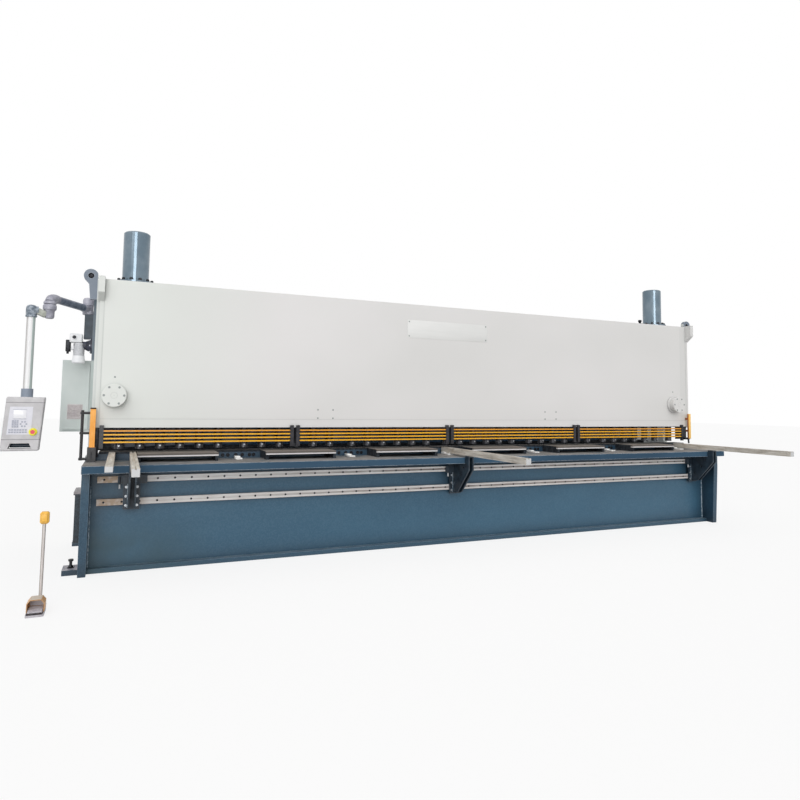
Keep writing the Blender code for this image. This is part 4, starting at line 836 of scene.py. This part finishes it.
# Tank fittings
# A turned filler cap with its breather stands on the tank, and a sight gauge held by two nuts
# shows the oil's level at its back.
mesh = bmesh.new()
turned(mesh, [(0, 0), (0.048, 0), (0.048, 0.010), (0.036, 0.014), (0.036, 0.040), (0.044, 0.046),
              (0.044, 0.070), (0.036, 0.078), (0, 0.080)], (-1.42, 0.885, 2.8003))
made("tank_filler_cap", mesh, black_steel, "frame")
mesh = bmesh.new()
block(mesh, (-1.455, 1.1106, 2.330), (-1.415, 1.1280, 2.600), 0.006, 3)
made("tank_level_gauge", mesh, rod_chrome, "frame")
bolts("tank_gauge_nuts", [(-1.435, 1.1280, z) for z in (2.350, 2.580)], (0, 1, 0), 0.010, 0.008,
      black_steel, "frame")


# Boxes on the left side plate
# A folded steel cabinet with a louvred vent in its door, and a small junction box lower down
# under a rain cap.
cabinet = Finish("cabinet_coat", "DDE4E2", 0.5)
cabinet.colour(cabinet.clouds(0.5, "C9D2CF", "D5DCDA", 0.35, 0.65))
cabinet.rough(cabinet.noise(0.1), 0.45, 0.58)
cabinet.bump(cabinet.noise(0.004), 0.0004)
dress(cabinet, "control_cabinet")


def slat_tree():
    """Louvre: pressed slats, one above the other."""
    tree, given = pattern("louvre_slats", (("Count", "Int"), ("Pitch", "Float"),
                                           ("Slat", "Vector"), ("Tilt", "Rotation"),
                                           ("Finish", "Material")))
    slat = result(tree, "GeometryNodeMeshCube", {"Size": given["Slat"]})
    return stacked(tree, given, given["Count"], slat, {"Rotation": given["Tilt"]})


vent_grey = plain_finish("vent_grey", "B9B0B1", 0.5, ("C6BEBF", "D6CFD0"), 0.02, 0.004, 0.0003,
                         spread=(0.4, 0.6))
grown("cabinet_louvre", slat_tree(), [(-4.3265, 0.4745, 1.468)],
      {"Count": 6, "Pitch": 0.025, "Slat": [0.141, 0.003, 0.020], "Tilt": [0.35, 0, 0],
       "Finish": vent_grey.material}, "frame")
mesh = bmesh.new()
block(mesh, (-4.402, 0.4785, 1.448), (-4.251, 0.4797, 1.611), 0.0004)
made("louvre_plate", mesh, vent_grey, "frame")

# The junction box's blue is painted much darker than the machine's, as painted shade.
box, box_shaded_tone = blue_paint("side_box_shaded_paint", "11202A", "0D1921")
lid = box.mix(box.noise(0.03), "7F797B", "A39C9E")
box.colour(box.mix(box.band(box.along("Z"), 0.7290, 0.7295), box_shaded_tone, lid))
dress(box, "side_box")


# Blade-gap motor
# A small upright geared motor of cast and machined alloy that turns the gap adjuster through a
# dark hub on the side plate, with its terminal box on the left.
MOTOR_X, MOTOR_Y, HUB_Z = -4.30, 0.225, 2.245
alloy = Finish("motor_alloy", "E2E4E8", 0.4)
coat = alloy.mix(alloy.noise(0.03), "EEF0F4", "FDFDFE")
# Painted shade between the fins and in the casting's hollows.
alloy.colour(alloy.mix(alloy.shade_nooks(0.004), coat, "8D9099"))
alloy.rough(alloy.noise(0.05), 0.3, 0.5)
alloy.bump(alloy.noise(0.008), 0.0005)
mesh = bmesh.new()
block(mesh, (-4.391, 0.165, 2.272), (-4.267, 0.285, 2.369), 0.014, 3)
turned(mesh, [(0, 0), (0.026, 0), (0.026, 0.006), (0.020, 0.008), (0, 0.008)],
       (-4.345, 0.165, 2.328), (0, -1, 0), 24)
fins = [(radius, 2.140 + 0.007 * i + rise) for i in range(18)
        for radius, rise in ((0.056, 0.0), (0.056, 0.003), (0.053, 0.0035), (0.053, 0.0065))]
turned(mesh, [(0, 2.051), (0.052, 2.051), (0.064, 2.060), (0.064, 2.092), (0.058, 2.112),
              (0.058, 2.134), (0.050, 2.138), *fins, (0.045, 2.27), (0, 2.27)],
       (MOTOR_X, MOTOR_Y, 0))
block(mesh, (-4.3785, 0.200, 2.195), (-4.340, 0.250, 2.235), 0.004)
casting = made("gap_motor_casting", mesh, alloy, "frame")
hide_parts("gap_motor")
mesh = bmesh.new()
block(mesh, (-4.4265, 0.185, 2.175), (-4.379, 0.265, 2.300), 0.007, 3)
rod(mesh, 0.012, (-4.405, 0.200, 2.176), (-4.405, 0.200, 2.150), 12, 0.002)
turned(mesh, [(0, 0), (0.016, 0), (0.018, 0.002), (0.018, 0.004), (0, 0.004)],
       (-4.345, 0.157, 2.328), (0, -1, 0), 20)
made("gap_motor_terminal", mesh, black_steel, "frame")
navy = plain_finish("gap_hub_navy", "3A3E4E", 0.35, ("1B1D29", "383C4E"), 0.03, 0.008, 0.0005,
                    spread=(0.4, 0.6))
mesh = bmesh.new()
turned(mesh, [(0, 0), (0.082, 0), (0.084, 0.002), (0.084, 0.018), (0.080, 0.021), (0.066, 0.023),
              (0.050, 0.060), (0.044, 0.066), (0.044, 0.096), (0, 0.096)],
       (-4.1705, MOTOR_Y, HUB_Z), (-1, 0, 0))
made("gap_hub", mesh, navy, "frame")
bolts("gap_hub_bolts", [(-4.1915, MOTOR_Y + u, HUB_Z + v) for u, v in circle(6, 0.073)],
      (-1, 0, 0), 0.007, 0.007, bright_zinc, "frame")


# Light curtains
# Slim bars of sensors in yellow sheet covers, one at each end of the guards. The left one has a
# black cap and foot and is braced by a black rod, and the right one sits on two clamps.
curtain = Finish("curtain_paint", "F6A837", 0.35)
sensor_bar = curtain.both(curtain.band(curtain.along("Z"), 1.1895, 1.1905),
                          curtain.band(curtain.calc("ABSOLUTE", curtain.along("X")),
                                       4.137, 4.136))
bright = curtain.clouds(0.1, "F2A02E", "FBB04A", 0.4, 0.7)
dark = curtain.clouds(0.02, "141417", "26262A", 0.4, 0.6)
curtain.colour(curtain.mix(sensor_bar, dark, bright))
curtain.bump(curtain.noise(0.006), 0.0003)
dress(curtain, "light_curtain_left")
mesh = bmesh.new()
block(mesh, (-4.1365, -0.3565, 1.5703), (-4.0835, -0.3035, 1.5835), 0.005, 3)
block(mesh, (-4.114, -0.3715, 1.085), (-4.106, -0.3693, 1.150), 0.001)
made("curtain_cap", mesh, black_steel, "frame")
# The face towards the machine's middle is painted orange-brown as shade; the other faces are the
# lit yellow.
far_paint = Finish("far_curtain_paint", "FBC65E", 0.35)
lit = far_paint.mix(far_paint.noise(0.1), "FAC050", "FDD37C")
far_paint.colour(far_paint.mix(far_paint.facing("X", -0.7, -0.9), lit, "A8591C"))
far_paint.bump(far_paint.noise(0.006), 0.0003)
mesh = bmesh.new()
block(mesh, (4.014, -0.340, 1.200), (4.060, -0.312, 1.572), 0.003)
for z in (1.300, 1.480):
    block(mesh, (4.034, -0.3118, z), (4.050, -0.2610, z + 0.030), 0.002)
far_curtain = made("far_curtain", mesh, far_paint, "frame")
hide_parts("light_curtain_right")


# Pendant arm
# A slate post carries two castings joined by a tube. A beige link and a slate elbow then hold
# the bright drop tube. All turn on upright axes.
HUB, ELBOW, DROP = (Vector((x, y, 0)) for x, y in ((-4.235, 0.38), (-4.543, -0.30),
                                                   (-4.693, -0.34)))
JOINT_TOP, LINK_FOOT, TUBE_Z = 2.6003, 2.4555, 2.665
slate = plain_finish("post_slate", "45535E", 0.45, ("2B3742", "394753"), 0.1, 0.006, 0.0003,
                     spread=(0.4, 0.65))
dress(slate, "arm_post")
tube_slate = plain_finish("tube_slate", "667084", 0.35, ("556074", "788295"), 0.05, 0.005,
                          0.0003, spread=(0.4, 0.65))
casting_grey = plain_finish("arm_casting", "A9A9B5", 0.4, ("9696A3", "B4B4BF"), 0.06, 0.005,
                            0.0006, spread=(0.4, 0.65))
beige = plain_finish("link_beige", "B3B6AC", 0.45, ("A9ACA2", "BFC2B8"), 0.04, 0.004, 0.0003,
                     spread=(0.4, 0.65))
drop_slate = plain_finish("drop_elbow_slate", "818C99", 0.35, ("66727F", "A6B0BB"), 0.03, 0.005,
                          0.0004, spread=(0.4, 0.62))


def raised(axis, height):
    """The point on an upright axis at some height."""
    return axis + Vector((0, 0, height))


reach = (ELBOW - HUB).normalized()
hub_end, elbow_end = raised(HUB, TUBE_Z), raised(ELBOW, TUBE_Z)
mesh = bmesh.new()
turned(mesh, [(0, JOINT_TOP), (0.052, JOINT_TOP), (0.058, 2.606), (0.058, 2.640), (0.050, 2.646),
              (0.050, 2.700), (0.058, 2.706), (0.058, 2.765), (0.046, 2.784), (0.024, 2.790),
              (0, 2.790)], HUB)
bent(mesh, [hub_end + reach * 0.02, hub_end + reach * 0.09, hub_end + reach * 0.115],
     [0.046, 0.045, 0.043])
swing_hub = made("swing_hub", mesh, casting_grey, "swing")
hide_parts("swing_arm")
mesh = bmesh.new()
rod(mesh, 0.039, hub_end + reach * 0.10, elbow_end - reach * 0.08, 32, 0.002)
made("swing_tube", mesh, tube_slate, "swing")
mesh = bmesh.new()
bent(mesh, [elbow_end - reach * 0.125, elbow_end - reach * 0.075,
            raised(ELBOW, 2.652) - reach * 0.020, raised(ELBOW, 2.620)],
     [0.043, 0.046, 0.047, 0.048])
turned(mesh, [(0, JOINT_TOP), (0.054, JOINT_TOP), (0.0575, 2.604), (0.0575, 2.618),
              (0.050, 2.630), (0, 2.630)], ELBOW)
made("elbow_head", mesh, casting_grey, "swing")
mesh = bmesh.new()
turned(mesh, [(0, LINK_FOOT), (0.028, LINK_FOOT), (0.040, 2.462), (0.044, 2.480), (0.045, 2.528),
              (0.052, 2.540), (0.0605, 2.546), (0.0615, 2.560), (0.0605, 2.585), (0.055, 2.5953),
              (0, 2.5953)], ELBOW)
elbow_foot = made("elbow_foot", mesh, casting_grey, "elbow")
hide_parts("elbow_link")
link = (DROP - ELBOW).normalized()
mesh = bmesh.new()
bar(mesh, raised(ELBOW, 2.489) + link * 0.030, raised(DROP, 2.523) - link * 0.048, 0.060, 0.060,
    0.006)
made("link_bar", mesh, beige, "elbow")
mesh = bmesh.new()
turned(mesh, [(0, LINK_FOOT), (0.046, LINK_FOOT), (0.0505, 2.459), (0.0505, 2.474),
              (0.045, 2.479), (0.048, 2.486), (0.0495, 2.535), (0.046, 2.555), (0.036, 2.570),
              (0.018, 2.577), (0, 2.578)], DROP)
bent(mesh, [raised(DROP, 2.528), raised(DROP, 2.526) - link * 0.056], [0.042, 0.040])
made("drop_elbow", mesh, drop_slate, "elbow")


# Pendant box
# A grey moulded box hangs on a bright drawn tube with a slate collar and has a grip at its foot.
# It carries a pale membrane keypad with blank keys and a red stop button on a yellow ring.
STOP = (-4.62, 0, 1.347)
KEY_BACK, KEY_FACE = -0.3966, -0.3983
drop_tube = Finish("anodised_tube", "F4F4F4", 0.35)
drawn_and_shaded = drop_tube.mix(drop_tube.noise(0.02, (1, 1, 0.04)), "ECECEE", "FCFCFB")
# Painted shade on the tube's outer side, and on the side towards the cabinet a shade tinted by
# its pale green.
drawn_and_shaded = drop_tube.mix(drop_tube.facing("X", -0.50, -0.68), drawn_and_shaded, "BAB7B6")
drop_tube.colour(drop_tube.mix(drop_tube.facing("X", 0.45, 0.60), drawn_and_shaded, "B9C8C4"))
drop_tube.bump(drop_tube.noise(0.004, (1, 1, 0.1)), 0.0001)
dress(drop_tube, "pendant_tube")


def from_stop(finish):
    """Distance from the stop button's axis."""
    flat = result(finish.tree, "ShaderNodeVectorMath", {0: finish.place, 1: (1, 0, 1)},
                  operation="MULTIPLY")
    return add(finish.tree, "ShaderNodeVectorMath", {0: flat, 1: STOP},
               operation="DISTANCE").outputs["Value"]


case = Finish("pendant_case", "B8B6B8", 0.45)
shell = case.clouds(0.09, "C2C0C2", "CECCCE")
# Painted shade along the case's edges and creases.
shell = case.mix(case.edges(0.004), shell, "8B898E")
z = case.along("Z")
for groove in (1.275, 1.627):
    shell = case.mix(case.band(case.off(z, groove), 0.0045, 0.0025, 0.0, 0.7), shell, "6F6D73")
ring = case.both(case.band(from_stop(case), 0.0368, 0.0364),
                 case.band(case.along("Y"), -0.3952, -0.3955))
shell = case.mix(ring, shell, "F7F01C")
case.colour(case.mix(case.band(z, 1.6805, 1.6810), shell, "8791A0"))
case.bump(case.noise(0.003), 0.0003)
dress(case, "pendant_box")

mesh = bmesh.new()
rod(mesh, 0.0195, (-4.815, -0.306, 1.2145), (-4.638, -0.306, 1.2145), 24, 0.002)
made("pendant_grip", mesh, slate, "pendant")

membrane = plain_finish("keypad_membrane", "DCDCE4", 0.35, ("D4D4DE", "E6E6EC"), 0.05, 0.003,
                        0.0001)
mesh = bmesh.new()
slab(mesh, [(-4.839, 1.322), (-4.638, 1.322), (-4.628, 1.587), (-4.819, 1.587)], "Y",
     -0.3965, -0.3952)
made("keypad", mesh, membrane, "pendant")
screen_glass = plain_finish("screen_glass", "F6F6FA", 0.15, ("F0F0F6", "FCFCFE"), 0.08, 0.002,
                            0.00005)
mesh = bmesh.new()
block(mesh, (-4.788, -0.3985, 1.475), (-4.683, KEY_BACK, 1.555), 0.0008)
made("keypad_screen", mesh, screen_glass, "pendant")
key_grey = plain_finish("key_grey", "A9ACBA", 0.4, ("989CAB", "BCBFCB"), 0.02, 0.002, 0.0001)
mesh = bmesh.new()
for column in range(3):
    for row in range(4):
        x, z = -4.7985 + 0.0195 * column, 1.3895 + 0.0182 * row
        block(mesh, (x, KEY_FACE, z), (x + 0.0165, KEY_BACK, z + 0.0150), 0.0007)
for u, v in circle(6, 0.024):
    turned(mesh, [(0, 0), (0.0085, 0), (0.0085, 0.0012), (0.0078, 0.0018), (0, 0.0018)],
           (-4.702 + u, KEY_BACK, 1.422 + v), (0, -1, 0), 16)
for i in range(7):
    x = -4.823 + 0.0222 * i
    for z in (1.338, 1.360):
        block(mesh, (x, KEY_FACE, z), (x + 0.0180, KEY_BACK, z + 0.014), 0.0007)
for z in (1.469, 1.558):
    block(mesh, (-4.794, -0.3978, z), (-4.677, KEY_BACK, z + 0.003), 0.0004)
made("keypad_keys", mesh, key_grey, "pendant")
stop_red = Finish("stop_red", "E2384E", 0.3)
red = stop_red.mix(stop_red.noise(0.02), "D92E45", "EA4A5E")
stop_red.colour(stop_red.mix(stop_red.band(from_stop(stop_red), 0.0195, 0.0202), red, "F0E81E"))
stop_red.bump(stop_red.noise(0.002), 0.0001)
dress(stop_red, "stop_button")


# Pedal station
# A bent sheet hood with chamfered shoulders covers a ribbed tread, and a slim plated pole at its
# back carries a small yellow switch box.
HOOD_LEFT, HOOD_RIGHT, HOOD_BACK = -4.457, -4.333, -1.577
TREAD_FRONT = -1.735
FLOOR_GAP = 0.0003
POLE_X, POLE_Y = -4.388, -1.4447
hood = Finish("hood_paint", "D9A66C", 0.45)
coat = hood.mix(hood.facing(), hood.clouds(0.03, "D59A58", "E4B98A"), "CFC0AE")
# Painted shade along the hood's edges and bends.
hood.colour(hood.mix(hood.edges(0.003), coat, "7E5A36"))
hood.bump(hood.noise(0.004), 0.0004)
outer = [(HOOD_LEFT, 0.024), (HOOD_LEFT, 0.090), (-4.434, 0.118), (-4.356, 0.118),
         (HOOD_RIGHT, 0.090), (HOOD_RIGHT, 0.024)]
inner = [(-4.338, 0.024), (-4.338, 0.088), (-4.359, 0.113), (-4.431, 0.113), (-4.452, 0.088),
         (-4.452, 0.024)]
mesh = bmesh.new()
slab(mesh, outer + inner, "Y", -1.700, -1.585)
slab(mesh, outer, "Y", -1.5848, HOOD_BACK)
hood_shell = made("pedal_hood_shell", mesh, hood, "frame")
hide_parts("pedal_hood")
tread_steel = plain_finish("tread_steel", "B4B0B6", 0.5, ("A09CA3", "D2CFD4"), 0.012, 0.004,
                           0.0005)
mesh = bmesh.new()
slab(mesh, [(TREAD_FRONT, 0.0300), (-1.600, 0.0400), (-1.600, 0.0460), (TREAD_FRONT, 0.0360)],
     "X", -4.446, -4.344)
for i in range(6):
    y = -1.725 + 0.022 * i
    height = 0.0365 + 0.0741 * (y - TREAD_FRONT)
    bar(mesh, (-4.444, y, height), (-4.346, y, height), 0.006, 0.004, 0.0012)
tread = made("pedal_tread", mesh, tread_steel, "pedal_plate")
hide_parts("pedal")
mesh = bmesh.new()
block(mesh, (HOOD_LEFT, -1.7410, FLOOR_GAP), (HOOD_RIGHT, HOOD_BACK, 0.0012), 0.0003)
block(mesh, (HOOD_LEFT, -1.7480, FLOOR_GAP), (HOOD_RIGHT, -1.7411, 0.016), 0.002)
for left, right in ((HOOD_LEFT, -4.4525), (-4.3375, HOOD_RIGHT)):
    block(mesh, (left, -1.7400, 0.0013), (right, HOOD_BACK, 0.0237), 0.001)
slab(mesh, [(-4.443, 0.046), (-4.347, 0.046), (-4.347, 0.084), (-4.362, 0.108),
            (-4.428, 0.108), (-4.443, 0.084)], "Y", -1.5890, -1.5853)
made("pedal_tray", mesh, tread_steel, "frame")
pole_zinc = Finish("pole_zinc", "D0CAC6", 0.35, 0.2)
plated = pole_zinc.mix(pole_zinc.noise(0.01, (1, 1, 0.05)), "B8B0AC", "E8E3E0")
# Painted shade down both sides of the round pole.
plated = pole_zinc.mix(pole_zinc.facing("X", -0.55, -0.75), plated, "85796F")
pole_zinc.colour(pole_zinc.mix(pole_zinc.facing("X", 0.60, 0.80), plated, "8B8078"))
pole_zinc.bump(pole_zinc.noise(0.003), 0.0001)
mesh = bmesh.new()
rod(mesh, 0.0125, (POLE_X, POLE_Y, 0.009), (POLE_X + 0.002, POLE_Y, 0.652), 24, 0.001)
turned(mesh, [(0, 0.0095), (0.030, 0.0095), (0.030, 0.014), (0.018, 0.017), (0.016, 0.040),
              (0, 0.040)], (POLE_X, POLE_Y, 0), sides=20)
block(mesh, (-4.445, -1.5768, FLOOR_GAP), (-4.345, -1.4100, 0.0095), 0.002)
pole = made("pedal_pole", mesh, pole_zinc, "frame")
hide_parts("pedal_post")
switch_yellow = Finish("switch_yellow", "F8BE4A", 0.35)
cast = switch_yellow.mix(switch_yellow.noise(0.03), "F6B63A", "FBC964")
# Painted shade along the switch box's edges.
switch_yellow.colour(switch_yellow.mix(switch_yellow.edges(0.003), cast, "A9772B"))
switch_yellow.bump(switch_yellow.noise(0.003), 0.0002)
mesh = bmesh.new()
block(mesh, (-4.418, -1.474, 0.650), (-4.351, -1.416, 0.748), 0.013, 1)
block(mesh, (-4.405, -1.476, 0.668), (-4.364, -1.4743, 0.730), 0.0008)
made("switch_box", mesh, switch_yellow, "frame")
